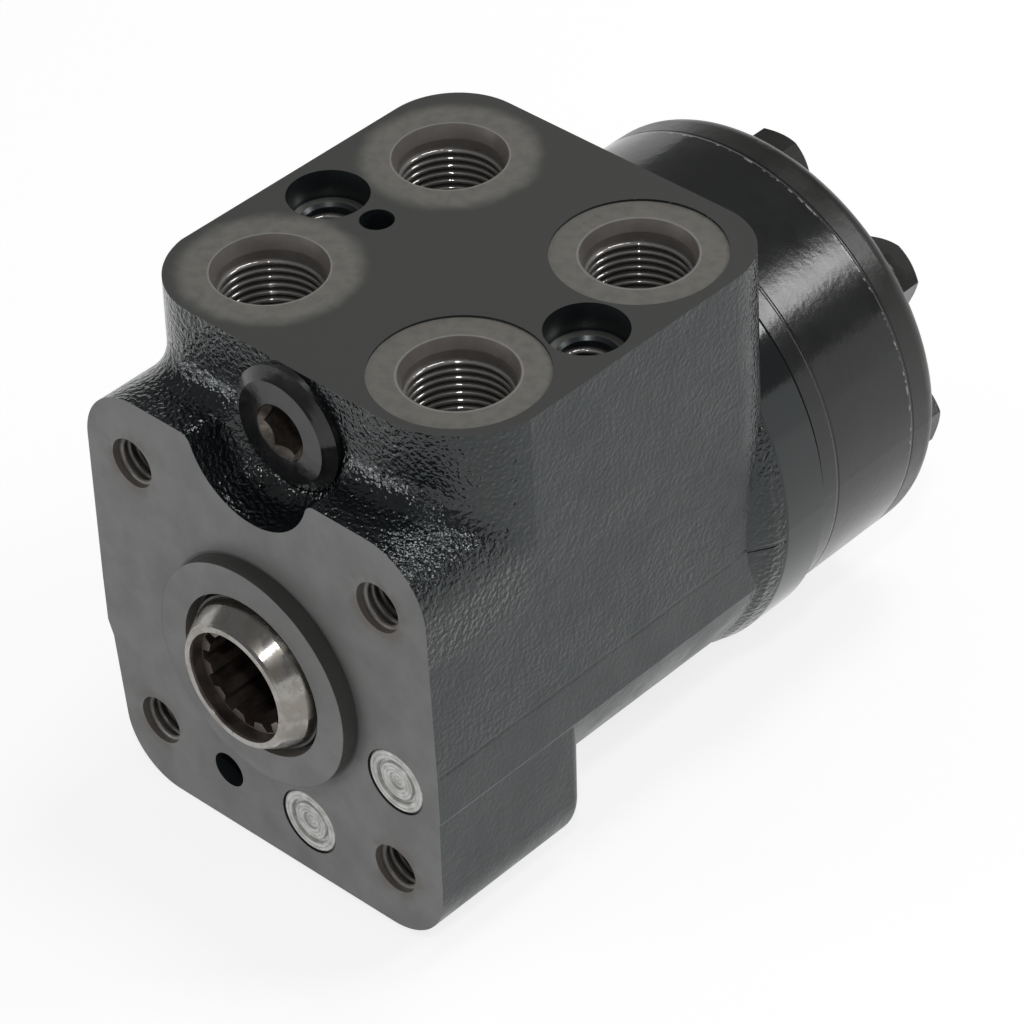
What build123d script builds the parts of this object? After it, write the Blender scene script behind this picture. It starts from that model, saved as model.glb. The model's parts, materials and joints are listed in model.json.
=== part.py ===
from build123d import *
import math
import os

# Orbital steering unit, sizes in millimetres.
# The steering axis is the Y axis. The front flange face is the plane y = 0, and +Y leads to the
# gear set and the end cover. The port face looks up, along +Z.

# Gaps between parts
RUNNING_GAP = 0.02          # radial gap of the sleeve in its bore
SPOOL_GAP = 0.03            # radial gap of the spool in the sleeve
SIDE_GAP = 0.03             # gap at the flanks of turning parts
SEAT_GAP = 0.05             # gap of still parts in their seats
SEAL_GAP = 0.06             # gap of seal lips round the hub
LOOSE_GAP = 0.4             # radial gap of parts that only pass through

# Front flange and boss
HALF_WIDTH = 40.8           # half width of the casting at its parting plane
PARTING_Z = -1.8            # height of the parting plane
FLANGE_TOP_Z = 42.7
FLANGE_BOTTOM_LEFT_Z = -44.0
FLANGE_BOTTOM_RIGHT_Z = -42.2
FLANGE_LEFT_X = -37.4       # bottom left corner, where the side leans in
FLANGE_LEAN_Z = 9.0         # height at which the left side starts to lean in
FLANGE_CORNER_R = 12.8
FLANGE_LOW_CORNER_R = 12.0
FOOT_DEPTH = 35.3
FOOT_EDGE_R = 2.5
SWOOP_R = 5.0               # cast fillet between flange and front wall
SWOOP_LOW_Z = 20.0          # lowest height that it reaches
SWOOP_SPARE = 0.2           # extra width while it is made, cut off again
BOSS_R = 22.1
BOSS_HEIGHT = 3.2
BOLT_CIRCLE_R = 41.25       # circle of the four mounting holes
MOUNT_HOLE_R = 4.8          # at the bottom of the thread, as for all tapped holes
MOUNT_HOLE_DEPTH = 20.0

# Port block
PORT_FACE_Z = 57.45
PORT_FACE_HALF_WIDTH = 39.7
BLOCK_FRONT_Y = 11.2
BLOCK_BACK_Y = 91.5
BLOCK_LEFT_CORNER_R = 16.0
BLOCK_RIGHT_CORNER_R = 18.0
BLOCK_BACK_CORNER_R = 14.0
PORT_PITCH_X = 44.0
PORT_PITCH_Y = 44.1
PORT_FRONT_Y = 28.5
PORT_R = 9.5
PORT_MOUTH_R = 10.3
PORT_MOUTH_DEPTH = 2.7
PORT_DEPTH = 17.0            # pump port
PORT_DEPTH_STEP = 0.8        # tank, left and right port are each bored this much deeper than the last
SPOT_FACE_R = 15.4
SPOT_FACE_DEPTH = 0.45
GALLERY_X = 18.0            # drillings from the ports to the bore
GALLERY_R = 3.4
GALLERY_OFFSET_Y = 3.6
ACCESSORY_X = 30.13         # two recessed tapped holes for a valve block
ACCESSORY_RECESS_R = 7.4
ACCESSORY_RECESS_DEPTH = 5.5
ACCESSORY_HOLE_R = 5.0
ACCESSORY_HOLE_DEPTH = 16.0
ACCESSORY_CHAMFER = 0.6
PEG_HOLE_X = -18.3
PEG_HOLE_R = 3.1
PEG_HOLE_DEPTH = 9.0

# Lower body and rear flange
REAR_FLANGE_STEP = 1.2      # rear flange beyond the gear set
BELLY_STEP = 1.7            # belly within the rear flange
REAR_FLANGE_START_Y = 84.5
REAR_BLEND_LENGTH = 8.5
REAR_FLANGE_EDGE = 1.0
HOUSING_LENGTH = 96.5

# Steering bore, from the front
WIPER_SEAT_R = 16.0
WIPER_SEAT_DEPTH = 5.8
LAND_LENGTH = 1.4
SEAL_GROOVE_R = 17.7
SEAL_GROOVE_WIDTH = 4.2
SHOULDER_WALL = 2.3
SLEEVE_R = 19.0
GROOVE_DEPTH = 2.4
GROOVE_WIDTH = 4.4
DRILL_R = 2.0               # seven long drillings to the gear set
DRILL_CIRCLE_R = 25.0
DRILL_FRONT_Y = 52.0

# Thrust bearing
RACE_T = 1.6
NEEDLE_R = 1.0
NEEDLE_LENGTH = 2.6
NEEDLE_COUNT = 14
CAGE_T = 1.5
RACE_RIM_GAP = 0.25

# Spool and sleeve
SPOOL_R = 14.5
SPOOL_BORE_R = 10.6
HUB_REACH = 4.1             # how far the hub stands out of the boss
HUB_RIM_R = 12.3
HUB_RIM_WIDTH = 1.8
HUB_TAPER_LENGTH = 3.8
HUB_SHOULDER_R = 14.1
SPLINE_TEETH = 12
COLUMN_SPLINE_TIP_R = 8.85
COLUMN_SPLINE_SETBACK = 2.8
COLUMN_SPLINE_LENGTH = 18.0
SPACE_FOOT = 0.6            # share of the pitch that a spline space covers at its open side
SPACE_TIP = 0.36            # and at its bottom
SPRING_SLOT_Y = 19.4        # front edge of the slots for the leaf springs
LEAF_WIDTH = 5.4
LEAF_T = 0.45
LEAF_BOW = 0.8
LEAF_END_GAP = 0.25
SPRING_RING_WALL = 1.1
CROSS_PIN_Y = 42.0
CROSS_PIN_R = 4.0
SPOOL_SWING = 8.0           # degrees of spool travel each way in the sleeve
METER_ROW_Y = 56.0
SLEEVE_HOLE_R = 1.4
SLEEVE_END_GAP = 0.15
SPOOL_END_GAP = 0.8
SPOOL_SLOT_COUNT = 6
SPOOL_SLOT_WIDTH = 2.4
SPOOL_SLOT_DEPTH = 1.0

# Gear set
PLATE_T = 4.5
RING_T = 21.0
COVER_T = 8.0
COVER_EDGE_R = 3.6
STAR_LOBES = 6
ECCENTRICITY = 2.8
LOBE_CIRCLE_R = 27.2
LOBE_R = 6.2
LOBE_POINTS = 12            # points along one lobe of the star's outline
CAVITY_GAP = 0.3
CAVITY_CORNER_R = 1.0
ROTOR_GAP = 0.04
PLATE_BORE_R = 11.6
STAR_SPLINE_TIP_R = 8.9
STAR_SPLINE_ROOT_R = 10.6
GEAR_BOLT_WEB = 5.3         # from the ring's lobe circle out to the bolt circle
GEAR_RIM = 10.5             # from the bolt circle out to the rim
GEAR_BOLT_R = 3.97
GEAR_BOLT_GAP = 0.23
GEAR_BOLT_GRIP = 13.5       # thread length in the housing
BOLT_HOLE_SPARE = 2.0       # hole left over beyond the bolt's end
BOLT_PIN_R = 2.4            # pin on the end of one bolt
BOLT_PIN_LENGTH = 5.0
BOLT_HEAD_FLATS = 13.0
BOLT_HEAD_H = 5.3
WASHER_R = 7.4
WASHER_T = 1.0
O_RING_STEP = 6.9           # from the bolt circle out to the seals
O_RING_SECTION = 1.5

# Drive shaft
FORK_R = 9.9
FORK_FRONT = 7.0
FORK_BACK = 9.5
FORK_SLOT_PLAY = 0.55       # lets the shaft lean along the cross pin
SHAFT_R = 6.8
STAR_DRIVE_DEPTH = 8.0      # centre of the rear spline behind the plate
DRIVE_SPLINE_LENGTH = 13.0
DRIVE_CROWN = 0.3
DRIVE_FLANK_GAP = 0.34
DRIVE_TIP_GAP = 0.4
SPACER_R = 8.5
SPACER_GAP = 0.4

# Relief valve
PLUG_Z = 45.6
SCALLOP_R = 14.3
SCALLOP_EDGE_R = 2.4
PLUG_FLANGE_R = 11.8
PLUG_FLANGE_T = 1.9
PLUG_FACE_R = 10.1
PLUG_FACE_H = 1.2
PLUG_SHANK_R = 8.0
PLUG_SHANK_LENGTH = 8.0
PLUG_SOCKET_FLATS = 8.0
PLUG_SOCKET_DEPTH = 5.5
PLUG_SOCKET_CHAMFER = 1.0
PLUG_SEAL_R = 9.7
PLUG_SEAL_T = 1.6
RELIEF_BORE_R = 6.0
RELIEF_BORE_LENGTH = 21.0
RELIEF_POCKET_R = 3.0
RELIEF_POCKET_LENGTH = 4.0
LINK_R = 1.8                # drillings between the relief valve and two ports
ADJUSTER_T = 4.0
ADJUSTER_SOCKET_FLATS = 5.0
SEAT_T = 5.0
SEAT_HOLE_R = 2.0
POPPET_R = 4.2
POPPET_LENGTH = 4.4
POPPET_TIP_LENGTH = 0.9
SPRING_WIRE_R = 0.55
SPRING_TURNS = 4
RELIEF_LIFT = 1.5

# Shock valves behind the pressed plugs of the front face
SHOCK_PLACES = ((30.6, -8.3), (8.1, -31.1))
SHOCK_BORE_R = 6.5
SHOCK_BORE_LENGTH = 52.0
SHOCK_PLUG_T = 6.0
SHOCK_PLUG_SINK = 0.2
SHOCK_ADJUSTER_Y = 14.0
SHOCK_BALL_R = 4.0
SHOCK_LIFT = 1.5
SIDE_HOLE_X = -11.9         # small plain hole of the front face
SIDE_HOLE_Z = -30.8
SIDE_HOLE_R = 3.5
SIDE_HOLE_DEPTH = 12.0

# Check valve under the pump port
CHECK_CHAMBER_R = 5.0
CHECK_CHAMBER_LENGTH = 13.0
CHECK_BALL_R = 4.25
CHECK_OFFSET = 1.5          # from the middle of the port towards the bore
CHECK_BUSH_R = 6.0
CHECK_BUSH_T = 4.0
CHECK_BUSH_HOLE_R = 3.0
CHECK_PIN_R = 1.0
CHECK_PIN_HEIGHT = 1.6

# Places worked out from the sizes above
SIDE_SLOPE = (HALF_WIDTH - PORT_FACE_HALF_WIDTH) / (PORT_FACE_Z - PARTING_Z)
RING_LOBES = STAR_LOBES + 1
LOBE_STEP = 360 / RING_LOBES
GEAR_BOLT_CIRCLE_R = LOBE_CIRCLE_R + GEAR_BOLT_WEB
GEAR_R = GEAR_BOLT_CIRCLE_R + GEAR_RIM
O_RING_R = GEAR_BOLT_CIRCLE_R + O_RING_STEP
REAR_FLANGE_R = GEAR_R + REAR_FLANGE_STEP
BELLY_R = REAR_FLANGE_R - BELLY_STEP
BORE_R = SLEEVE_R + RUNNING_GAP
GROOVE_R = BORE_R + GROOVE_DEPTH
SLEEVE_BORE_R = SPOOL_R + SPOOL_GAP
LAND_R = SPOOL_R + LOOSE_GAP
WIPER_SEAT_Y = WIPER_SEAT_DEPTH - BOSS_HEIGHT
SEAL_GROOVE_Y = WIPER_SEAT_Y + LAND_LENGTH
SEAL_GROOVE_END_Y = SEAL_GROOVE_Y + SEAL_GROOVE_WIDTH
SHOULDER_Y = SEAL_GROOVE_END_Y + SHOULDER_WALL
OUTER_RACE_Y = SHOULDER_Y + SIDE_GAP
NEEDLES_Y = OUTER_RACE_Y + RACE_T + SIDE_GAP + NEEDLE_R
INNER_RACE_Y = NEEDLES_Y + NEEDLE_R + SIDE_GAP
SLEEVE_Y = INNER_RACE_Y + RACE_T + SIDE_GAP
SLEEVE_END_Y = HOUSING_LENGTH - SLEEVE_END_GAP
SPOOL_END_Y = HOUSING_LENGTH - SPOOL_END_GAP
HUB_Y = -BOSS_HEIGHT - HUB_REACH
PLATE_END_Y = HOUSING_LENGTH + PLATE_T
RING_END_Y = PLATE_END_Y + RING_T
COVER_END_Y = RING_END_Y + COVER_T
PORT_BACK_Y = PORT_FRONT_Y + PORT_PITCH_Y
PORT_MIDDLE_Y = PORT_FRONT_Y + PORT_PITCH_Y / 2
PORT_X = PORT_PITCH_X / 2
PORT_FLOOR_Z = PORT_FACE_Z - PORT_DEPTH
GROOVE_ROWS = (
    PORT_FRONT_Y - GALLERY_OFFSET_Y,
    PORT_FRONT_Y + GALLERY_OFFSET_Y,
    PORT_BACK_Y - GALLERY_OFFSET_Y,
    PORT_BACK_Y + GALLERY_OFFSET_Y,
)
SLOT_HALF = 3 * (LEAF_T + SIDE_GAP) + LEAF_BOW
SPRING_SLOT_END_Y = SPRING_SLOT_Y + LEAF_WIDTH + 2 * SEAT_GAP
SPRING_RING_R = SLEEVE_R - SPRING_RING_WALL
STAR_DRIVE_Y = PLATE_END_Y + STAR_DRIVE_DEPTH
SHAFT_TILT = math.degrees(math.atan2(ECCENTRICITY, STAR_DRIVE_Y - CROSS_PIN_Y))
PLUG_FACE_Y = BLOCK_FRONT_Y - PLUG_FLANGE_T - PLUG_FACE_H
RELIEF_END_Y = BLOCK_FRONT_Y + PLUG_SHANK_LENGTH + RELIEF_BORE_LENGTH
RELIEF_SEAT_Y = RELIEF_END_Y - SEAT_T
RELIEF_ADJUSTER_Y = BLOCK_FRONT_Y + PLUG_SHANK_LENGTH + 1.0
CHECK_X = CHECK_OFFSET - PORT_X
CHECK_Y = PORT_FRONT_Y + CHECK_OFFSET
CHECK_BUSH_Z = PORT_FLOOR_Z - CHECK_BUSH_T
CHECK_FLOOR_Z = CHECK_BUSH_Z - CHECK_CHAMBER_LENGTH
CHECK_PIN_Z = CHECK_FLOOR_Z + CHECK_PIN_HEIGHT
EPS = 1.0                   # overshoot of a cut past a face


def rod(radius, start, end, x=0.0, z=0.0):
    """Cylinder along the steering direction, from y = start to y = end."""
    align = (Align.CENTER, Align.CENTER, Align.MIN)
    return Pos(x, start, z) * Rot(-90, 0, 0) * Cylinder(radius, end - start, align=align)


def post(radius, low, high, x=0.0, y=0.0):
    """Upright cylinder from z = low to z = high."""
    return Pos(x, y, low) * Cylinder(radius, high - low, align=(Align.CENTER, Align.CENTER, Align.MIN))


def tube(outer, inner, start, end, x=0.0, z=0.0):
    """Ring along the steering direction."""
    return rod(outer, start, end, x, z) - rod(inner, start - EPS, end + EPS, x, z)


def turned(points, x=0.0, z=0.0):
    """Solid of revolution round a line along Y, from (radius, y) points."""
    face = make_face(Polyline(*points, close=True))
    return Pos(x, 0, z) * revolve(face, axis=Axis.Y)


def prism(face, start, end, x=0.0, z=0.0):
    """Extrude an outline drawn as (x, z) from y = start to y = end."""
    return Pos(x, end, z) * Rot(90, 0, 0) * extrude(face, amount=end - start)


def around(count, start_angle=0.0):
    """Rotations about the steering axis for evenly spaced copies."""
    return [Rot(0, start_angle + index * 360 / count, 0) for index in range(count)]


def drilling(start, end, radius):
    """Straight drilled passage between two points."""
    way = Vector(*end) - Vector(*start)
    plane = Plane(origin=start, z_dir=way)
    return plane * Cylinder(radius, way.length, align=(Align.CENTER, Align.CENTER, Align.MIN))


def spline_outline(inner_r, outer_r, inner_share, outer_share, flank_gap=0.0):
    """Toothed outline whose teeth point outwards: a shaft, or the spaces of a splined hole.

    The shares are the parts of the tooth pitch that a tooth covers at its foot and at its tip.
    """
    points = []
    pitch = 2 * math.pi / SPLINE_TEETH
    foot = pitch * inner_share / 2 - flank_gap / inner_r
    tip = pitch * outer_share / 2 - flank_gap / outer_r
    for tooth in range(SPLINE_TEETH):
        for radius, turn in ((inner_r, -foot), (outer_r, -tip), (outer_r, tip), (inner_r, foot)):
            angle = tooth * pitch + turn
            points.append((radius * math.cos(angle), radius * math.sin(angle)))
    return make_face(Polyline(*points, close=True))


def hexagon(flats):
    """Hexagon with the given width across its flats."""
    return RegularPolygon(radius=flats / 2, side_count=6, major_radius=False)


def coil(radius, wire_r, start, end, turns, x=0.0, z=0.0):
    """Compression spring along Y, its wire a hexagonal section swept along a helix."""
    length = end - start - 2 * wire_r
    path = Helix(pitch=length / turns, height=length, radius=radius)
    section = Plane(origin=path @ 0, z_dir=path % 0) * RegularPolygon(radius=wire_r, side_count=6)
    return Pos(x, start + wire_r, z) * Rot(-90, 0, 0) * sweep(section, path=path)


def drafted(x, z):
    """Half width of the drafted casting at height z, from its half width at the parting plane."""
    return x - (z - PARTING_Z) * SIDE_SLOPE


def flange_outline():
    """Front flange outline without its scallop."""
    top_x = drafted(HALF_WIDTH, FLANGE_TOP_Z)
    points = (
        (-top_x, FLANGE_TOP_Z),
        (-HALF_WIDTH, PARTING_Z),
        (FLANGE_LEFT_X, FLANGE_BOTTOM_LEFT_Z),
        (HALF_WIDTH - 0.6, FLANGE_BOTTOM_RIGHT_Z),
        (HALF_WIDTH, PARTING_Z),
        (top_x, FLANGE_TOP_Z),
    )
    radii = (FLANGE_CORNER_R, 0, FLANGE_LOW_CORNER_R, FLANGE_CORNER_R, 0, FLANGE_CORNER_R)
    return make_face(FilletPolyline(*points, radius=radii, close=True))


def scalloped_outline():
    """Front flange outline with the rounded scallop that clears the relief valve plug."""
    face = flange_outline() - Pos(0, PLUG_Z) * Circle(SCALLOP_R)
    lips = [v for v in face.vertices() if abs(v.Y - FLANGE_TOP_Z) < 0.01 and abs(v.X) < SCALLOP_R]
    return fillet(lips, SCALLOP_EDGE_R)


def port_block(spare=0.0):
    """Block under the port face, drafted outwards down to the parting plane."""
    height = PORT_FACE_Z - PARTING_Z
    spread = height * SIDE_SLOPE
    half = PORT_FACE_HALF_WIDTH + spread + spare
    front = BLOCK_FRONT_Y - spread
    back = BLOCK_BACK_Y + spread
    points = ((-half, front), (half, front), (half, back), (-half, back))
    radii = (
        BLOCK_LEFT_CORNER_R + spread,
        BLOCK_RIGHT_CORNER_R + spread,
        BLOCK_BACK_CORNER_R + spread,
        BLOCK_BACK_CORNER_R + spread,
    )
    outline = make_face(FilletPolyline(*points, radius=radii, close=True))
    draft = math.degrees(math.atan(SIDE_SLOPE))
    return Pos(0, 0, PARTING_Z) * extrude(outline, amount=height, taper=draft)


def lower_body():
    """Rounded belly of the housing, cut off flat at both sides."""
    belly = rod(BELLY_R, 0, REAR_FLANGE_START_Y)
    height = BELLY_R + EPS
    align = (Align.CENTER, Align.MIN, Align.MAX)
    limit = Pos(0, 0, PARTING_Z) * Box(2 * HALF_WIDTH, REAR_FLANGE_START_Y, height, align=align)
    return belly & limit


def rear_flange():
    """Round flange that carries the gear set, with its sloped front side."""
    start = REAR_FLANGE_START_Y - REAR_BLEND_LENGTH
    return turned((
        (0, start),
        (HALF_WIDTH - 1.5, start),
        (REAR_FLANGE_R - 0.8, REAR_FLANGE_START_Y - 1.5),
        (REAR_FLANGE_R, REAR_FLANGE_START_Y + 1.5),
        (REAR_FLANGE_R, HOUSING_LENGTH - REAR_FLANGE_EDGE),
        (REAR_FLANGE_R - REAR_FLANGE_EDGE, HOUSING_LENGTH),
        (0, HOUSING_LENGTH),
    ))


def in_front_crease(edge):
    """Whether an edge lies where the flange's top and scallop meet the front wall of the block."""
    box = edge.bounding_box()
    behind_front = box.min.Y > BLOCK_FRONT_Y - EPS and box.max.Y < FOOT_DEPTH - EPS
    return behind_front and SWOOP_LOW_Z + 0.01 < box.max.Z < FLANGE_TOP_Z + 0.1


def front_swoop():
    """Upper front of the casting, its crease filled with the cast fillet."""
    rough = prism(scalloped_outline(), 0, BLOCK_FRONT_Y) + prism(flange_outline(), BLOCK_FRONT_Y, FOOT_DEPTH)
    rough += port_block(SWOOP_SPARE)
    align = (Align.CENTER, Align.CENTER, Align.MIN)
    upper = rough & Pos(0, 0, SWOOP_LOW_Z) * Box(3 * HALF_WIDTH, 3 * HOUSING_LENGTH, PORT_FACE_Z, align=align)
    filled = fillet([edge for edge in upper.edges() if in_front_crease(edge)], SWOOP_R)
    low_x = drafted(HALF_WIDTH, SWOOP_LOW_Z)
    top_x = drafted(HALF_WIDTH, PORT_FACE_Z)
    sides = Polyline(
        (-low_x, SWOOP_LOW_Z), (low_x, SWOOP_LOW_Z), (top_x, PORT_FACE_Z), (-top_x, PORT_FACE_Z), close=True
    )
    return filled & prism(make_face(sides), 0, FOOT_DEPTH)


def casting():
    """Outside of the housing before it is bored."""
    front = prism(scalloped_outline(), 0, BLOCK_FRONT_Y)
    foot = prism(flange_outline(), BLOCK_FRONT_Y, FOOT_DEPTH)
    heel = foot.faces().sort_by(Axis.Y)[-1].edges()
    foot = fillet([edge for edge in heel if edge.center().Z < PARTING_Z - EPS], FOOT_EDGE_R)
    body = front + foot + port_block() + front_swoop() + lower_body() + rear_flange()
    return body + rod(BOSS_R, -BOSS_HEIGHT, EPS)


def steering_bore():
    """Stepped bore for seals, bearing, spool and sleeve, with its ring grooves."""
    bore = turned((
        (0, -BOSS_HEIGHT - EPS),
        (WIPER_SEAT_R, -BOSS_HEIGHT - EPS),
        (WIPER_SEAT_R, WIPER_SEAT_Y),
        (LAND_R, WIPER_SEAT_Y),
        (LAND_R, SEAL_GROOVE_Y),
        (SEAL_GROOVE_R, SEAL_GROOVE_Y),
        (SEAL_GROOVE_R, SEAL_GROOVE_END_Y),
        (LAND_R, SEAL_GROOVE_END_Y),
        (LAND_R, SHOULDER_Y),
        (BORE_R, SHOULDER_Y),
        (BORE_R, HOUSING_LENGTH + EPS),
        (0, HOUSING_LENGTH + EPS),
    ))
    for row in GROOVE_ROWS:
        bore += rod(GROOVE_R, row - GROOVE_WIDTH / 2, row + GROOVE_WIDTH / 2)
    return bore


def port_cut(x, y, floor, spot_face):
    """Straight-thread port with its conical mouth, and its spot face where it has one."""
    top = PORT_FACE_Z
    profile = Polyline(
        (0, floor),
        (PORT_R, floor),
        (PORT_R, top - PORT_MOUTH_DEPTH),
        (PORT_MOUTH_R, top),
        (PORT_MOUTH_R, top + EPS),
        (0, top + EPS),
        close=True,
    )
    cut = revolve(make_face(Plane.XZ * profile), axis=Axis.Z)
    if spot_face:
        cut += post(SPOT_FACE_R, top - SPOT_FACE_DEPTH, top + EPS)
    return Pos(x, y, 0) * cut


def port_passages():
    """The four ports and the drillings that lead each one to its own ring groove."""
    cuts = []
    tank, pump, left, right = GROOVE_ROWS
    reach = math.sqrt(GROOVE_R**2 - GALLERY_X**2) - EPS
    places = (
        (-1, PORT_FRONT_Y, pump),
        (1, PORT_FRONT_Y, tank),
        (-1, PORT_BACK_Y, left),
        (1, PORT_BACK_Y, right),
    )
    for number, (side, port_y, row) in enumerate(places):
        floor = PORT_FLOOR_Z - number * PORT_DEPTH_STEP
        top = floor if number else CHECK_FLOOR_Z
        cuts.append(port_cut(side * PORT_X, port_y, floor, side > 0))
        cuts.append(post(GALLERY_R, reach, top + EPS, side * GALLERY_X, row))
    return cuts


def accessory_cuts():
    """Recessed tapped holes for a valve block, and the small locating hole beside one."""
    cuts = []
    ledge = PORT_FACE_Z - ACCESSORY_RECESS_DEPTH
    for side in (-1, 1):
        x = side * ACCESSORY_X
        cuts.append(post(ACCESSORY_RECESS_R, ledge, PORT_FACE_Z + EPS, x, PORT_MIDDLE_Y))
        cuts.append(post(ACCESSORY_HOLE_R, ledge - ACCESSORY_HOLE_DEPTH, ledge + EPS, x, PORT_MIDDLE_Y))
        mouth = Cone(
            ACCESSORY_HOLE_R,
            ACCESSORY_HOLE_R + ACCESSORY_CHAMFER,
            ACCESSORY_CHAMFER,
            align=(Align.CENTER, Align.CENTER, Align.MAX),
        )
        cuts.append(Pos(x, PORT_MIDDLE_Y, ledge) * mouth)
    cuts.append(post(PEG_HOLE_R, PORT_FACE_Z - PEG_HOLE_DEPTH, PORT_FACE_Z + EPS, PEG_HOLE_X, PORT_MIDDLE_Y))
    return cuts


def mounting_hole():
    """One tapped hole of the flange face."""
    return turned((
        (0, -EPS),
        (MOUNT_HOLE_R, -EPS),
        (MOUNT_HOLE_R, MOUNT_HOLE_DEPTH),
        (0, MOUNT_HOLE_DEPTH + MOUNT_HOLE_R * 0.6),
    ))


def front_cuts():
    """Mounting holes, shock valve bores, plain hole and relief valve bore of the front."""
    cuts = [turn * Pos(BOLT_CIRCLE_R, 0, 0) * mounting_hole() for turn in around(4, 45)]
    for x, z in SHOCK_PLACES:
        cuts.append(rod(SHOCK_BORE_R, -EPS, SHOCK_BORE_LENGTH, x, z))
        inward = 1 - (BORE_R - EPS) / math.hypot(x, z)
        near = (x * (1 - inward), SHOCK_BORE_LENGTH - 2.5, z * (1 - inward))
        cuts.append(drilling((x, SHOCK_BORE_LENGTH - 2.5, z), near, 2.0))
    cuts.append(rod(SIDE_HOLE_R, -EPS, SIDE_HOLE_DEPTH, SIDE_HOLE_X, SIDE_HOLE_Z))
    return cuts


def relief_cuts():
    """Stepped bore of the relief valve and its passages to two ports."""
    shank_end = BLOCK_FRONT_Y + PLUG_SHANK_LENGTH
    seal_r = PLUG_SEAL_R + SEAT_GAP
    bore = turned((
        (0, BLOCK_FRONT_Y - 3 * EPS),
        (PLUG_FLANGE_R + LOOSE_GAP, BLOCK_FRONT_Y - 3 * EPS),
        (PLUG_FLANGE_R + LOOSE_GAP, BLOCK_FRONT_Y),
        (seal_r, BLOCK_FRONT_Y),
        (seal_r, BLOCK_FRONT_Y + PLUG_SEAL_T + SEAT_GAP),
        (PLUG_SHANK_R + SEAT_GAP, BLOCK_FRONT_Y + PLUG_SEAL_T + SEAT_GAP),
        (PLUG_SHANK_R + SEAT_GAP, shank_end + SEAT_GAP),
        (RELIEF_BORE_R, shank_end + SEAT_GAP),
        (RELIEF_BORE_R, RELIEF_END_Y),
        (RELIEF_POCKET_R, RELIEF_END_Y),
        (RELIEF_POCKET_R, RELIEF_END_Y + RELIEF_POCKET_LENGTH),
        (0, RELIEF_END_Y + RELIEF_POCKET_LENGTH),
    ), z=PLUG_Z)
    pocket_y = RELIEF_END_Y + RELIEF_POCKET_LENGTH - LINK_R
    port_edge = (-PORT_X + PORT_R / 2, PORT_FRONT_Y + PORT_R * 0.75, PLUG_Z)
    inlet = drilling((0, pocket_y, PLUG_Z), port_edge, LINK_R)
    outlet = drilling((0, PORT_FRONT_Y, PLUG_Z), (PORT_X, PORT_FRONT_Y, PLUG_Z), LINK_R)
    return [bore, inlet, outlet]


def check_cuts():
    """Seat, chamber and pin hole of the check valve under the pump port."""
    pin_reach = CHECK_CHAMBER_R + 2.0
    pin = rod(CHECK_PIN_R + SEAT_GAP, CHECK_Y - pin_reach, CHECK_Y + pin_reach, CHECK_X, CHECK_PIN_Z)
    return [
        post(CHECK_BUSH_R + SEAT_GAP, CHECK_BUSH_Z, PORT_FLOOR_Z + EPS, CHECK_X, CHECK_Y),
        post(CHECK_CHAMBER_R, CHECK_FLOOR_Z, CHECK_BUSH_Z + EPS, CHECK_X, CHECK_Y),
        pin,
    ]


def rear_cuts():
    """Tapped bolt holes, long drillings and seal groove of the rear face."""
    bolt_end = HOUSING_LENGTH - GEAR_BOLT_GRIP
    hole = rod(GEAR_BOLT_R + SEAT_GAP, bolt_end - BOLT_HOLE_SPARE, HOUSING_LENGTH + EPS, 0, GEAR_BOLT_CIRCLE_R)
    cuts = [turn * hole for turn in bolt_places()]
    pin_hole_start = bolt_end - BOLT_PIN_LENGTH - BOLT_HOLE_SPARE
    pin_hole = rod(BOLT_PIN_R + LOOSE_GAP, pin_hole_start, bolt_end, 0, GEAR_BOLT_CIRCLE_R)
    cuts.append(bolt_places()[-1] * pin_hole)
    for turn in around(RING_LOBES, LOBE_STEP / 2):
        cuts.append(turn * rod(DRILL_R, DRILL_FRONT_Y, HOUSING_LENGTH + EPS, 0, DRILL_CIRCLE_R))
        cross = post(DRILL_R, BORE_R - EPS, DRILL_CIRCLE_R, 0, METER_ROW_Y)
        cuts.append(turn * cross)
    cuts.append(o_ring_groove(HOUSING_LENGTH))
    return cuts


def housing():
    """Bored and drilled housing."""
    body = casting()
    cuts = [steering_bore()] + port_passages() + accessory_cuts() + front_cuts()
    cuts += relief_cuts() + check_cuts() + rear_cuts()
    for cut in cuts:
        body -= cut
    return body


def o_ring_groove(face_y):
    """Groove for a face seal, cut into the part in front of the plane y = face_y."""
    half = O_RING_SECTION / 2 + LOOSE_GAP
    return tube(O_RING_R + half, O_RING_R - half, face_y - O_RING_SECTION - SEAT_GAP, face_y + EPS)


def o_ring(face_y):
    """Face seal, pressed to an eight-sided section in its groove."""
    half = O_RING_SECTION / 2
    flat = half * 0.42
    middle = face_y - half - SEAT_GAP / 2
    return turned((
        (O_RING_R - half, middle - flat),
        (O_RING_R - flat, middle - half),
        (O_RING_R + flat, middle - half),
        (O_RING_R + half, middle - flat),
        (O_RING_R + half, middle + flat),
        (O_RING_R + flat, middle + half),
        (O_RING_R - flat, middle + half),
        (O_RING_R - half, middle + flat),
    ))


def dust_seal():
    """Wiper ring with a lip that leans out over the hub."""
    outer = WIPER_SEAT_R - SEAT_GAP
    lip = SPOOL_R + SEAL_GAP
    back = WIPER_SEAT_Y - SEAT_GAP
    front = -BOSS_HEIGHT + 1.3
    return turned((
        (outer, back),
        (lip + 0.5, back),
        (lip, back - 1.2),
        (lip + 0.25, front + 1.4),
        (lip, front),
        (lip + 0.45, front),
        (outer - 0.35, front + 1.2),
        (outer, front + 1.2),
    ))


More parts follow.
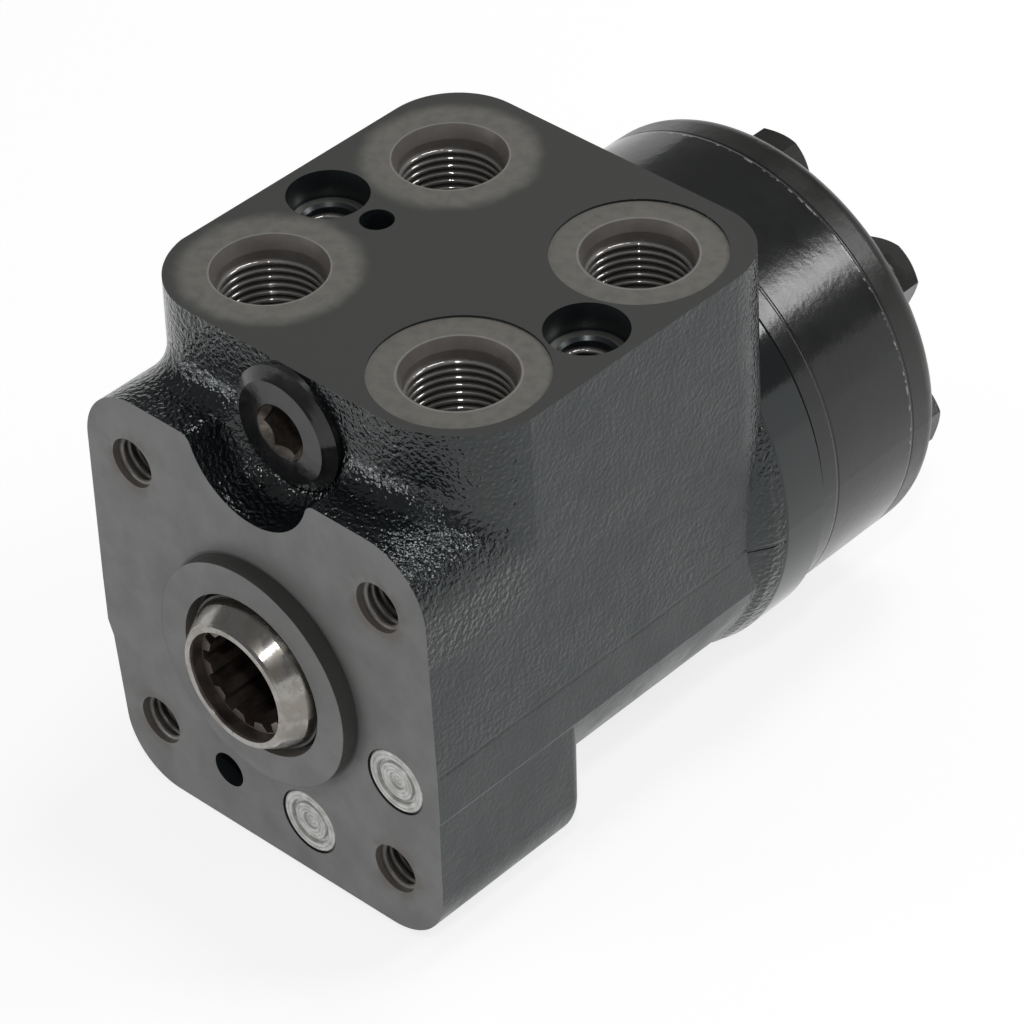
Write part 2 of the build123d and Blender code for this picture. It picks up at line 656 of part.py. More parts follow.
def seal_slide_ring():
    """Hard inner ring of the rotary seal."""
    inner = SPOOL_R + SEAL_GAP
    middle = (inner + SEAL_GROOVE_R) / 2 - 0.3
    start = SEAL_GROOVE_Y + SEAT_GAP
    end = SEAL_GROOVE_END_Y - SEAT_GAP
    third = (end - start) / 3
    return turned((
        (inner, start),
        (middle, start),
        (middle, start + third),
        (middle - 0.4, start + 1.5 * third),
        (middle, end - third),
        (middle, end),
        (inner, end),
    ))


def seal_back_ring():
    """Rubber ring that presses the slide ring on to the spool."""
    inner = (SPOOL_R + SEAL_GAP + SEAL_GROOVE_R) / 2 - 0.3 + SEAT_GAP
    outer = SEAL_GROOVE_R - SEAT_GAP
    start = SEAL_GROOVE_Y + 0.6
    end = SEAL_GROOVE_END_Y - 0.6
    edge = 0.5
    return turned((
        (inner, start + edge),
        (inner + edge, start),
        (outer - edge, start),
        (outer, start + edge),
        (outer, end - edge),
        (outer - edge, end),
        (inner + edge, end),
        (inner, end - edge),
    ))


def race(start):
    """One flat washer of the thrust bearing."""
    return tube(SLEEVE_R - RACE_RIM_GAP, SPOOL_R + RACE_RIM_GAP, start, start + RACE_T)


def needle_reach():
    """Inner and outer radius of the needle ring."""
    middle = (SLEEVE_R + SPOOL_R) / 2
    return middle - NEEDLE_LENGTH / 2, middle + NEEDLE_LENGTH / 2


def bearing_cage():
    """Flat cage with one pocket for each needle."""
    cage = tube(
        SLEEVE_R - RACE_RIM_GAP,
        SPOOL_R + RACE_RIM_GAP,
        NEEDLES_Y - CAGE_T / 2,
        NEEDLES_Y + CAGE_T / 2,
    )
    inner, outer = needle_reach()
    width = 2 * (NEEDLE_R + SEAT_GAP)
    pocket = Pos((inner + outer) / 2, NEEDLES_Y, 0) * Box(NEEDLE_LENGTH + 2 * SEAT_GAP, 2 * CAGE_T, width)
    for turn in around(NEEDLE_COUNT):
        cage -= turn * pocket
    return cage


def bearing_needles():
    """Needles of the thrust bearing, each a roller lying radially."""
    inner, _ = needle_reach()
    align = (Align.CENTER, Align.CENTER, Align.MIN)
    needle = Pos(inner, NEEDLES_Y, 0) * Rot(0, 90, 0) * Cylinder(NEEDLE_R, NEEDLE_LENGTH, align=align)
    return [turn * needle for turn in around(NEEDLE_COUNT)]


def spring_slot(reach):
    """Cut for the leaf springs, across the steering axis."""
    length = SPRING_SLOT_END_Y - SPRING_SLOT_Y
    middle = (SPRING_SLOT_Y + SPRING_SLOT_END_Y) / 2
    return Pos(0, middle, 0) * Box(2 * SLOT_HALF, length, 2 * reach)


def spool():
    """Spool with its splined hub, pin slots and metering slots."""
    wall = turned((
        (SPOOL_BORE_R, HUB_Y + 0.5),
        (HUB_RIM_R - HUB_RIM_WIDTH + 0.3, HUB_Y),
        (HUB_RIM_R - 0.4, HUB_Y),
        (HUB_RIM_R, HUB_Y + 0.5),
        (HUB_SHOULDER_R - 0.5, HUB_Y + HUB_TAPER_LENGTH - 0.9),
        (HUB_SHOULDER_R, HUB_Y + HUB_TAPER_LENGTH),
        (SPOOL_R, HUB_Y + HUB_TAPER_LENGTH + 1.2),
        (SPOOL_R, SPOOL_END_Y),
        (SPOOL_BORE_R, SPOOL_END_Y),
    ))
    start = HUB_Y + COLUMN_SPLINE_SETBACK
    end = start + COLUMN_SPLINE_LENGTH
    teeth = rod(SPOOL_BORE_R + 0.2, start, end)
    spaces = spline_outline(COLUMN_SPLINE_TIP_R, SPOOL_BORE_R - 0.2, SPACE_FOOT, SPACE_TIP)
    teeth -= prism(spaces, start - EPS, end + EPS)
    body = wall + teeth
    body -= spring_slot(SPOOL_R + EPS)
    swing = math.radians(SPOOL_SWING)
    pin_half = SPOOL_R * math.sin(swing) + CROSS_PIN_R / math.cos(swing) + 0.2
    pin_slot = Box(2 * (SPOOL_R + EPS), 2 * (CROSS_PIN_R + 0.1), 2 * pin_half)
    body -= Pos(0, CROSS_PIN_Y, 0) * pin_slot
    for start_y, end_y, phase in (
        (CROSS_PIN_Y + 2 * CROSS_PIN_R, METER_ROW_Y + SPOOL_SLOT_WIDTH, 0),
        (METER_ROW_Y - SPOOL_SLOT_WIDTH, GROOVE_ROWS[3] + SPOOL_SLOT_WIDTH, 180 / SPOOL_SLOT_COUNT),
    ):
        slot = Box(SPOOL_SLOT_WIDTH, end_y - start_y, 2 * SPOOL_SLOT_DEPTH)
        for turn in around(SPOOL_SLOT_COUNT, phase):
            body -= turn * Pos(0, (start_y + end_y) / 2, SPOOL_R) * slot
    return body


def spool_sleeve():
    """Sleeve with its spring slots, pin holes and rows of radial holes."""
    body = tube(SLEEVE_R, SLEEVE_BORE_R, SLEEVE_Y, SLEEVE_END_Y)
    body -= spring_slot(SLEEVE_R + EPS)
    recess_start = SPRING_SLOT_Y - 0.6
    recess_end = SPRING_SLOT_END_Y + 0.6
    body -= tube(SLEEVE_R + EPS, SPRING_RING_R, recess_start, recess_end)
    pin_hole = Cylinder(CROSS_PIN_R + SEAT_GAP, 2 * (SLEEVE_R + EPS), rotation=(0, 90, 0))
    body -= Pos(0, CROSS_PIN_Y, 0) * pin_hole
    rows = (
        (GROOVE_ROWS[1], 6, 0),
        (METER_ROW_Y, 2 * STAR_LOBES, 0),
        (GROOVE_ROWS[2], 6, 0),
        (GROOVE_ROWS[3], 6, 30),
    )
    for y, count, phase in rows:
        hole = post(SLEEVE_HOLE_R, SPOOL_R - EPS, SLEEVE_R + EPS, 0, y)
        for turn in around(count, phase):
            body -= turn * hole
    return body


def cross_pin():
    """Pin that ties sleeve and drive shaft, chamfered at both ends."""
    length = 2 * (SLEEVE_R - 0.3)
    pin = Cylinder(CROSS_PIN_R, length, rotation=(0, 90, 0))
    return Pos(0, CROSS_PIN_Y, 0) * chamfer(pin.edges().filter_by(GeomType.CIRCLE), 0.5)


def spring_ring():
    """Ring that closes the spring slots of the sleeve."""
    start = SPRING_SLOT_Y - 0.6 + SEAT_GAP
    end = SPRING_SLOT_END_Y + 0.6 - SEAT_GAP
    return tube(SLEEVE_R - SEAT_GAP, SPRING_RING_R + SEAT_GAP, start, end)


def centring_springs():
    """Two flat and four bowed leaf springs, one pack across the axis."""
    half = SPRING_RING_R - LEAF_END_GAP
    start = SPRING_SLOT_Y + SEAT_GAP
    leaves = []
    step = LEAF_T + SIDE_GAP / 2
    for side in (-1, 1):
        flat = Rectangle(LEAF_T, 2 * half)
        leaves.append(prism(flat, start, start + LEAF_WIDTH, side * step / 2))
        for layer in (1, 2):
            root = (layer - 0.5) * step + step / 2
            inner = ThreePointArc((root + LEAF_BOW, -half), (root, 0), (root + LEAF_BOW, half))
            outer = ThreePointArc(
                (root + LEAF_BOW + LEAF_T, half), (root + LEAF_T, 0), (root + LEAF_BOW + LEAF_T, -half)
            )
            ends = Line(inner @ 1, outer @ 0) + Line(outer @ 1, inner @ 0)
            leaf = prism(make_face(inner + outer + ends), start, start + LEAF_WIDTH)
            leaves.append(leaf if side > 0 else Rot(0, 180, 0) * leaf)
    return leaves


def star_point(angle):
    """Point of the star's outline, the inner parallel curve of the path of the ring's lobe centres."""
    turns = RING_LOBES * angle
    x = LOBE_CIRCLE_R * math.cos(angle) - ECCENTRICITY * math.cos(turns)
    z = LOBE_CIRCLE_R * math.sin(angle) - ECCENTRICITY * math.sin(turns)
    dx = -LOBE_CIRCLE_R * math.sin(angle) + RING_LOBES * ECCENTRICITY * math.sin(turns)
    dz = LOBE_CIRCLE_R * math.cos(angle) - RING_LOBES * ECCENTRICITY * math.cos(turns)
    shift = (LOBE_R + ROTOR_GAP) / math.hypot(dx, dz)
    return x - dz * shift, z + dx * shift


def gerotor_star():
    """Star with its lobes and its splined hole, at the low point of its orbit."""
    step = 360 / STAR_LOBES
    turn = math.radians(step)
    points = [star_point(turn * index / LOBE_POINTS) for index in range(LOBE_POINTS + 1)]
    lobe = Spline(*points, tangents=((0, 1), (-math.sin(turn), math.cos(turn))))
    outline = make_face([Rot(0, 0, index * step) * lobe for index in range(STAR_LOBES)])
    body = prism(outline, PLATE_END_Y + SIDE_GAP, RING_END_Y - SIDE_GAP)
    hole = spline_outline(STAR_SPLINE_TIP_R, STAR_SPLINE_ROOT_R, SPACE_FOOT, SPACE_TIP)
    body -= prism(hole, PLATE_END_Y - EPS, RING_END_Y + EPS)
    return Pos(0, 0, -ECCENTRICITY) * body


def cavity_outline():
    """Inner outline of the ring: rounded pockets between its lobes."""
    cavity_r = LOBE_CIRCLE_R - LOBE_R + 2 * ECCENTRICITY + CAVITY_GAP
    face = Circle(cavity_r)
    for index in range(RING_LOBES):
        angle = math.radians(90 + index * LOBE_STEP)
        face -= Pos(LOBE_CIRCLE_R * math.cos(angle), LOBE_CIRCLE_R * math.sin(angle)) * Circle(LOBE_R)
    return fillet(face.vertices(), CAVITY_CORNER_R)


def gear_bolt_holes(start, end):
    """Clearance holes for the seven bolts."""
    radius = GEAR_BOLT_R + GEAR_BOLT_GAP
    hole = rod(radius, start - EPS, end + EPS, 0, GEAR_BOLT_CIRCLE_R)
    return [turn * hole for turn in around(RING_LOBES)]


def gerotor_ring():
    """Outer ring with its lobes, bolt holes and seal groove."""
    body = rod(GEAR_R, PLATE_END_Y, RING_END_Y)
    body -= prism(cavity_outline(), PLATE_END_Y - EPS, RING_END_Y + EPS)
    for hole in gear_bolt_holes(PLATE_END_Y, RING_END_Y):
        body -= hole
    return body - o_ring_groove(RING_END_Y)


def distributor_plate():
    """Plate that leads the seven drillings to the pockets of the ring."""
    body = tube(GEAR_R, PLATE_BORE_R, HOUSING_LENGTH, PLATE_END_Y)
    port = rod(DRILL_R, HOUSING_LENGTH - EPS, PLATE_END_Y + EPS, 0, DRILL_CIRCLE_R)
    for turn in around(RING_LOBES, LOBE_STEP / 2):
        body -= turn * port
    for hole in gear_bolt_holes(HOUSING_LENGTH, PLATE_END_Y):
        body -= hole
    return body - o_ring_groove(PLATE_END_Y)


def end_cover():
    """Round cover with a rounded rim."""
    body = rod(GEAR_R, RING_END_Y, COVER_END_Y)
    rim = body.edges().filter_by(GeomType.CIRCLE).sort_by(Axis.Y)[-1]
    body = fillet(rim, COVER_EDGE_R)
    for hole in gear_bolt_holes(RING_END_Y, COVER_END_Y):
        body -= hole
    return body


def gear_bolt():
    """Hexagon bolt through cover, ring and plate into the housing."""
    seat = COVER_END_Y + WASHER_T
    corner = BOLT_HEAD_FLATS / math.sqrt(3)
    head = prism(hexagon(BOLT_HEAD_FLATS), seat, seat + BOLT_HEAD_H)
    crown = turned((
        (0, seat),
        (corner + EPS, seat),
        (corner + EPS, seat + BOLT_HEAD_H - 1.4),
        (BOLT_HEAD_FLATS / 2 - 0.3, seat + BOLT_HEAD_H),
        (0, seat + BOLT_HEAD_H),
    ))
    shank = rod(GEAR_BOLT_R, HOUSING_LENGTH - GEAR_BOLT_GRIP, seat)
    return Pos(0, 0, GEAR_BOLT_CIRCLE_R) * ((head & crown) + shank)


def pin_bolt():
    """The bolt with a slim pin on its end."""
    end = HOUSING_LENGTH - GEAR_BOLT_GRIP
    return gear_bolt() + rod(BOLT_PIN_R, end - BOLT_PIN_LENGTH, end + EPS, 0, GEAR_BOLT_CIRCLE_R)


def bolt_places():
    """The seven bolt positions, the one for the pin bolt last."""
    return around(RING_LOBES)


def bolt_washers():
    """Sealing washers under the bolt heads."""
    hole_r = GEAR_BOLT_R + GEAR_BOLT_GAP
    washer = tube(WASHER_R, hole_r, COVER_END_Y, COVER_END_Y + WASHER_T, 0, GEAR_BOLT_CIRCLE_R)
    return [turn * washer for turn in bolt_places()]


def cardan_shaft():
    """Drive shaft: fork on the cross pin, waist, and crowned spline in the star, leaning to the star."""
    spline_start = STAR_DRIVE_Y - CROSS_PIN_Y - DRIVE_SPLINE_LENGTH / 2
    spline_end = spline_start + DRIVE_SPLINE_LENGTH
    middle = (spline_start + spline_end) / 2
    root_r = STAR_SPLINE_TIP_R - DRIVE_TIP_GAP
    tip_r = STAR_SPLINE_ROOT_R - DRIVE_TIP_GAP
    fork = turned((
        (0, -FORK_FRONT),
        (FORK_R - 1.0, -FORK_FRONT),
        (FORK_R, -FORK_FRONT + 1.5),
        (FORK_R, FORK_BACK - 1.5),
        (FORK_R - 1.0, FORK_BACK),
        (SHAFT_R, FORK_BACK + 3.0),
        (SHAFT_R, spline_start - 3.0),
        (root_r, spline_start - 0.5),
        (root_r, spline_end),
        (0, spline_end),
    ))
    crown = turned((
        (0, spline_start),
        (tip_r - DRIVE_CROWN, spline_start),
        (tip_r, middle - 1.5),
        (tip_r, middle + 1.5),
        (tip_r - DRIVE_CROWN, spline_end),
        (0, spline_end),
    ))
    outline = spline_outline(root_r - 0.2, tip_r, SPACE_FOOT, SPACE_TIP, DRIVE_FLANK_GAP)
    teeth = prism(outline, spline_start, spline_end) & crown
    slot_half = CROSS_PIN_R + SEAT_GAP
    reach = 2 * (FORK_R + EPS)
    align = (Align.CENTER, Align.MAX, Align.CENTER)
    slot = Box(reach, FORK_FRONT + FORK_SLOT_PLAY + EPS, 2 * slot_half, align=align)
    slot += Cylinder(slot_half, reach, rotation=(0, 90, 0))
    shaft = fork + teeth - Pos(0, FORK_SLOT_PLAY, 0) * slot
    return Pos(0, CROSS_PIN_Y, 0) * Rot(-SHAFT_TILT, 0, 0) * shaft


def cardan_spacer():
    """Disc between the drive shaft and the end cover, in the star's hole."""
    start = STAR_DRIVE_Y + DRIVE_SPLINE_LENGTH / 2 + SPACER_GAP
    return rod(SPACER_R, start, RING_END_Y - SIDE_GAP, 0, -ECCENTRICITY)


def relief_plug():
    """Socket-head plug of the relief valve, with a bevelled head."""
    bevel = PLUG_FLANGE_R - PLUG_FACE_R
    front = PLUG_FACE_Y
    shank_end = BLOCK_FRONT_Y + PLUG_SHANK_LENGTH
    body = turned((
        (0, front),
        (PLUG_FACE_R - 0.4, front),
        (PLUG_FACE_R, front + 0.4),
        (PLUG_FACE_R + bevel * 0.6, front + PLUG_FACE_H),
        (PLUG_FLANGE_R, front + PLUG_FACE_H + 0.5),
        (PLUG_FLANGE_R, BLOCK_FRONT_Y),
        (PLUG_SHANK_R, BLOCK_FRONT_Y),
        (PLUG_SHANK_R, shank_end),
        (RELIEF_BORE_R - 2.0, shank_end),
        (RELIEF_BORE_R - 2.0, shank_end - 3.0),
        (0, shank_end - 3.0),
    ))
    mouth_r = PLUG_SOCKET_FLATS / 2 + PLUG_SOCKET_CHAMFER + 0.4
    mouth = turned(((0, front - EPS), (mouth_r + EPS, front - EPS), (0, front + mouth_r)))
    body -= prism(hexagon(PLUG_SOCKET_FLATS), front - EPS, front + PLUG_SOCKET_DEPTH)
    return Pos(0, 0, PLUG_Z) * (body - mouth)


def relief_plug_seal():
    """Seal ring under the plug's head."""
    start = BLOCK_FRONT_Y + SEAT_GAP / 2
    return tube(PLUG_SEAL_R, PLUG_SHANK_R + SEAT_GAP, start, BLOCK_FRONT_Y + PLUG_SEAL_T, 0, PLUG_Z)


def socket_screw(start, radius, x, z):
    """Headless adjusting screw with a hexagon socket."""
    body = rod(radius - SEAT_GAP, start, start + ADJUSTER_T, x, z)
    return body - prism(hexagon(ADJUSTER_SOCKET_FLATS), start - EPS, start + ADJUSTER_T - 1.6, x, z)


def relief_adjuster():
    """Adjusting screw of the relief valve."""
    return socket_screw(RELIEF_ADJUSTER_Y, RELIEF_BORE_R, 0, PLUG_Z)


def relief_seat():
    """Hardened seat of the relief valve."""
    return tube(RELIEF_BORE_R - SEAT_GAP, SEAT_HOLE_R, RELIEF_SEAT_Y, RELIEF_END_Y - SEAT_GAP, 0, PLUG_Z)


def relief_poppet():
    """Cone of the relief valve, closed on its seat."""
    seat_y = RELIEF_SEAT_Y - SIDE_GAP
    return turned((
        (0, seat_y - POPPET_LENGTH),
        (POPPET_R - 1.4, seat_y - POPPET_LENGTH),
        (POPPET_R - 1.4, seat_y - POPPET_LENGTH + 2.0),
        (POPPET_R, seat_y - POPPET_LENGTH + 2.0),
        (POPPET_R, seat_y - 1.2),
        (SEAT_HOLE_R - SIDE_GAP, seat_y),
        (0.4, seat_y + POPPET_TIP_LENGTH),
        (0, seat_y + POPPET_TIP_LENGTH),
    ), z=PLUG_Z)


def relief_spring():
    """Spring between the adjusting screw and the poppet."""
    start = RELIEF_ADJUSTER_Y + ADJUSTER_T + SIDE_GAP
    end = RELIEF_SEAT_Y - SIDE_GAP - POPPET_LENGTH + 2.0 - SIDE_GAP
    radius = POPPET_R - 1.4 + SPRING_WIRE_R + 0.15
    return coil(radius, SPRING_WIRE_R, start, end, SPRING_TURNS, 0, PLUG_Z)


def shock_seat_y():
    """Front face of the shock valve seats."""
    return SHOCK_BORE_LENGTH - SEAT_T - 5.0


def shock_sealing_plug(place):
    """Pressed plug with a turned groove round its raised middle."""
    outer = SHOCK_BORE_R - SEAT_GAP
    front = SHOCK_PLUG_SINK
    back = front + SHOCK_PLUG_T
    return turned((
        (0, front + 0.5),
        (1.6, front + 0.5),
        (1.8, front + 0.1),
        (3.6, front + 0.1),
        (3.8, front + 0.6),
        (4.3, front + 0.6),
        (4.5, front),
        (outer - 0.4, front),
        (outer, front + 0.4),
        (outer, back),
        (0, back),
    ), *place)


def shock_adjuster(place):
    """Adjusting screw of a shock valve."""
    return socket_screw(SHOCK_ADJUSTER_Y, SHOCK_BORE_R, *place)


def shock_seat(place):
    """Seat of a shock valve."""
    start = shock_seat_y()
    outer = SHOCK_BORE_R - SEAT_GAP
    mouth = SHOCK_BALL_R * 0.8
    return turned((
        (outer, start),
        (outer, start + SEAT_T),
        (SEAT_HOLE_R, start + SEAT_T),
        (SEAT_HOLE_R, start + mouth - SEAT_HOLE_R),
        (mouth, start),
    ), *place)


def shock_ball_y():
    """Centre of a closed shock valve's ball, resting on the edge of its seat's cone."""
    rest = SHOCK_BALL_R * math.sqrt(2) - SHOCK_BALL_R * 0.8
    return shock_seat_y() - rest - SIDE_GAP


def shock_ball(place):
    """Ball of a shock valve."""
    return Pos(place[0], shock_ball_y(), place[1]) * Sphere(SHOCK_BALL_R)


def shock_spring(place):
    """Spring between a shock valve's adjusting screw and its ball."""
    start = SHOCK_ADJUSTER_Y + ADJUSTER_T + SIDE_GAP
    radius = SHOCK_BALL_R * 0.72
    reach = math.sqrt(SHOCK_BALL_R**2 - radius**2) + 2 * SPRING_WIRE_R
    return coil(radius, SPRING_WIRE_R, start, shock_ball_y() - reach, SPRING_TURNS, *place)


def check_bushing():
    """Threaded bushing that the check ball closes against."""
    body = post(CHECK_BUSH_R, CHECK_BUSH_Z, PORT_FLOOR_Z, CHECK_X, CHECK_Y)
    body -= post(CHECK_BUSH_HOLE_R, CHECK_BUSH_Z - EPS, PORT_FLOOR_Z + EPS, CHECK_X, CHECK_Y)
    return body


def check_ball():
    """Check ball, lying on its pin."""
    z = CHECK_PIN_Z + CHECK_PIN_R + SIDE_GAP + CHECK_BALL_R
    return Pos(CHECK_X, CHECK_Y, z) * Sphere(CHECK_BALL_R)


def check_pin():
    """Pin across the chamber, under the check ball."""
    reach = CHECK_CHAMBER_R + 1.8
    return rod(CHECK_PIN_R, CHECK_Y - reach, CHECK_Y + reach, CHECK_X, CHECK_PIN_Z)


def parts():
    """Every sub-part by its name."""
    right, low = SHOCK_PLACES
    bolts = bolt_places()
    return {
        "housing": housing(),
        "dust_seal": dust_seal(),
        "shaft_seal_ring": seal_slide_ring(),
        "shaft_seal_o_ring": seal_back_ring(),
        "bearing_outer_race": race(OUTER_RACE_Y),
        "bearing_cage": bearing_cage(),
        "bearing_needles": bearing_needles(),
        "bearing_inner_race": race(INNER_RACE_Y),
        "spool": spool(),
        "spool_sleeve": spool_sleeve(),
        "cross_pin": cross_pin(),
        "centring_springs": centring_springs(),
        "spring_ring": spring_ring(),
        "cardan_shaft": cardan_shaft(),
        "distributor_plate": distributor_plate(),
        "gerotor_ring": gerotor_ring(),
        "gerotor_star": gerotor_star(),
        "cardan_spacer": cardan_spacer(),
        "end_cover": end_cover(),
        "cover_bolts": [turn * gear_bolt() for turn in bolts[:-1]],
        "pin_bolt": bolts[-1] * pin_bolt(),
        "bolt_washers": bolt_washers(),
        "housing_o_ring": o_ring(HOUSING_LENGTH),
        "ring_o_ring": o_ring(PLATE_END_Y),
        "cover_o_ring": o_ring(RING_END_Y),
        "relief_plug": relief_plug(),
        "relief_plug_seal": relief_plug_seal(),
        "relief_adjuster": relief_adjuster(),
        "relief_spring": relief_spring(),
        "relief_poppet": relief_poppet(),
        "relief_seat": relief_seat(),
        "shock_sealing_plugs": [shock_sealing_plug(place) for place in SHOCK_PLACES],
        "shock_adjusters": [shock_adjuster(place) for place in SHOCK_PLACES],
        "shock_seats": [shock_seat(place) for place in SHOCK_PLACES],
        "shock_spring_right": shock_spring(right),
        "shock_spring_low": shock_spring(low),
        "shock_ball_right": shock_ball(right),
        "shock_ball_low": shock_ball(low),
        "check_bushing": check_bushing(),
        "check_ball": check_ball(),
        "check_pin": check_pin(),
    }


def write(name, shape):
    """Write one sub-part as a STEP file of separate solids."""
    shapes = shape if isinstance(shape, list) else [shape]
    solids = [solid for piece in shapes for solid in piece.solids()]
    node = solids[0] if len(solids) == 1 else Compound(children=solids)
    export_step(node, f"parts/{name}.step")


os.makedirs("parts", exist_ok=True)
for part_name, part_shape in parts().items():
    write(part_name, part_shape)
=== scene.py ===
import json
import logging
import math
from dataclasses import dataclass
from enum import Enum
from typing import Sequence

import bmesh
import bpy
from mathutils import Matrix, Vector


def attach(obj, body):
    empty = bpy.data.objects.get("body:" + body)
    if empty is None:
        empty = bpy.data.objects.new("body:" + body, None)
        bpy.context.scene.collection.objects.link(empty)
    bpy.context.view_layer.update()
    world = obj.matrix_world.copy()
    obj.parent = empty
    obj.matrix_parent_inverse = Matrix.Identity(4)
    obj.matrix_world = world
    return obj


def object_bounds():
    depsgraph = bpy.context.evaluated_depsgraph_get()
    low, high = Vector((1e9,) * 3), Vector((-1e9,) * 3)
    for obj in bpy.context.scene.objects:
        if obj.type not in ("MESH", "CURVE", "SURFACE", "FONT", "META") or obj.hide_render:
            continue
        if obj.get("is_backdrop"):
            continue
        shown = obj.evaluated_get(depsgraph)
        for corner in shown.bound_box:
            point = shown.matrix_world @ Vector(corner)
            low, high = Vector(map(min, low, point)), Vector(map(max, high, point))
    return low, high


# Dressing of the orbital steering unit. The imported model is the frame. Lengths in the classes are
# in millimetres in the frame of the part: the steering axis is Y, the front face is y = 0 and the
# port face looks along +Z. Meshes are made in metres.

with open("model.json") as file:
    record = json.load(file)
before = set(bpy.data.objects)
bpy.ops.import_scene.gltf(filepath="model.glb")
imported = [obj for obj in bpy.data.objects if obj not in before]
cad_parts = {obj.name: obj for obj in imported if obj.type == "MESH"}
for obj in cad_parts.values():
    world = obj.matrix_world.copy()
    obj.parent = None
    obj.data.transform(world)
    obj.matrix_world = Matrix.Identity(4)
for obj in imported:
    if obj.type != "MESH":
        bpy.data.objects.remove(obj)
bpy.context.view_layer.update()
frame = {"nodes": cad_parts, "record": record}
LOG = logging.getLogger("steering_unit")
MM = 0.001


class Body(Enum):
    """Moving bodies that new pieces ride on."""

    HOUSING = "housing"


class Slot(Enum):
    """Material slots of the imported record."""

    CASTING = "cast_iron_black"
    GEAR_SET = "gear_set_black"
    BOLT = "bolt_black"
    PLUG = "plug_black"
    SILVER = "plug_silver"
    STEEL = "hard_steel"
    SPRING = "spring_steel"
    RUBBER = "rubber"
    SEAL = "seal_plastic"


class Axis(Enum):
    """Direction in which a tapped hole is bored into the housing."""

    DOWN = Matrix.Rotation(math.pi, 4, "X")
    BACK = Matrix.Rotation(-math.pi / 2, 4, "X")


# Node trees


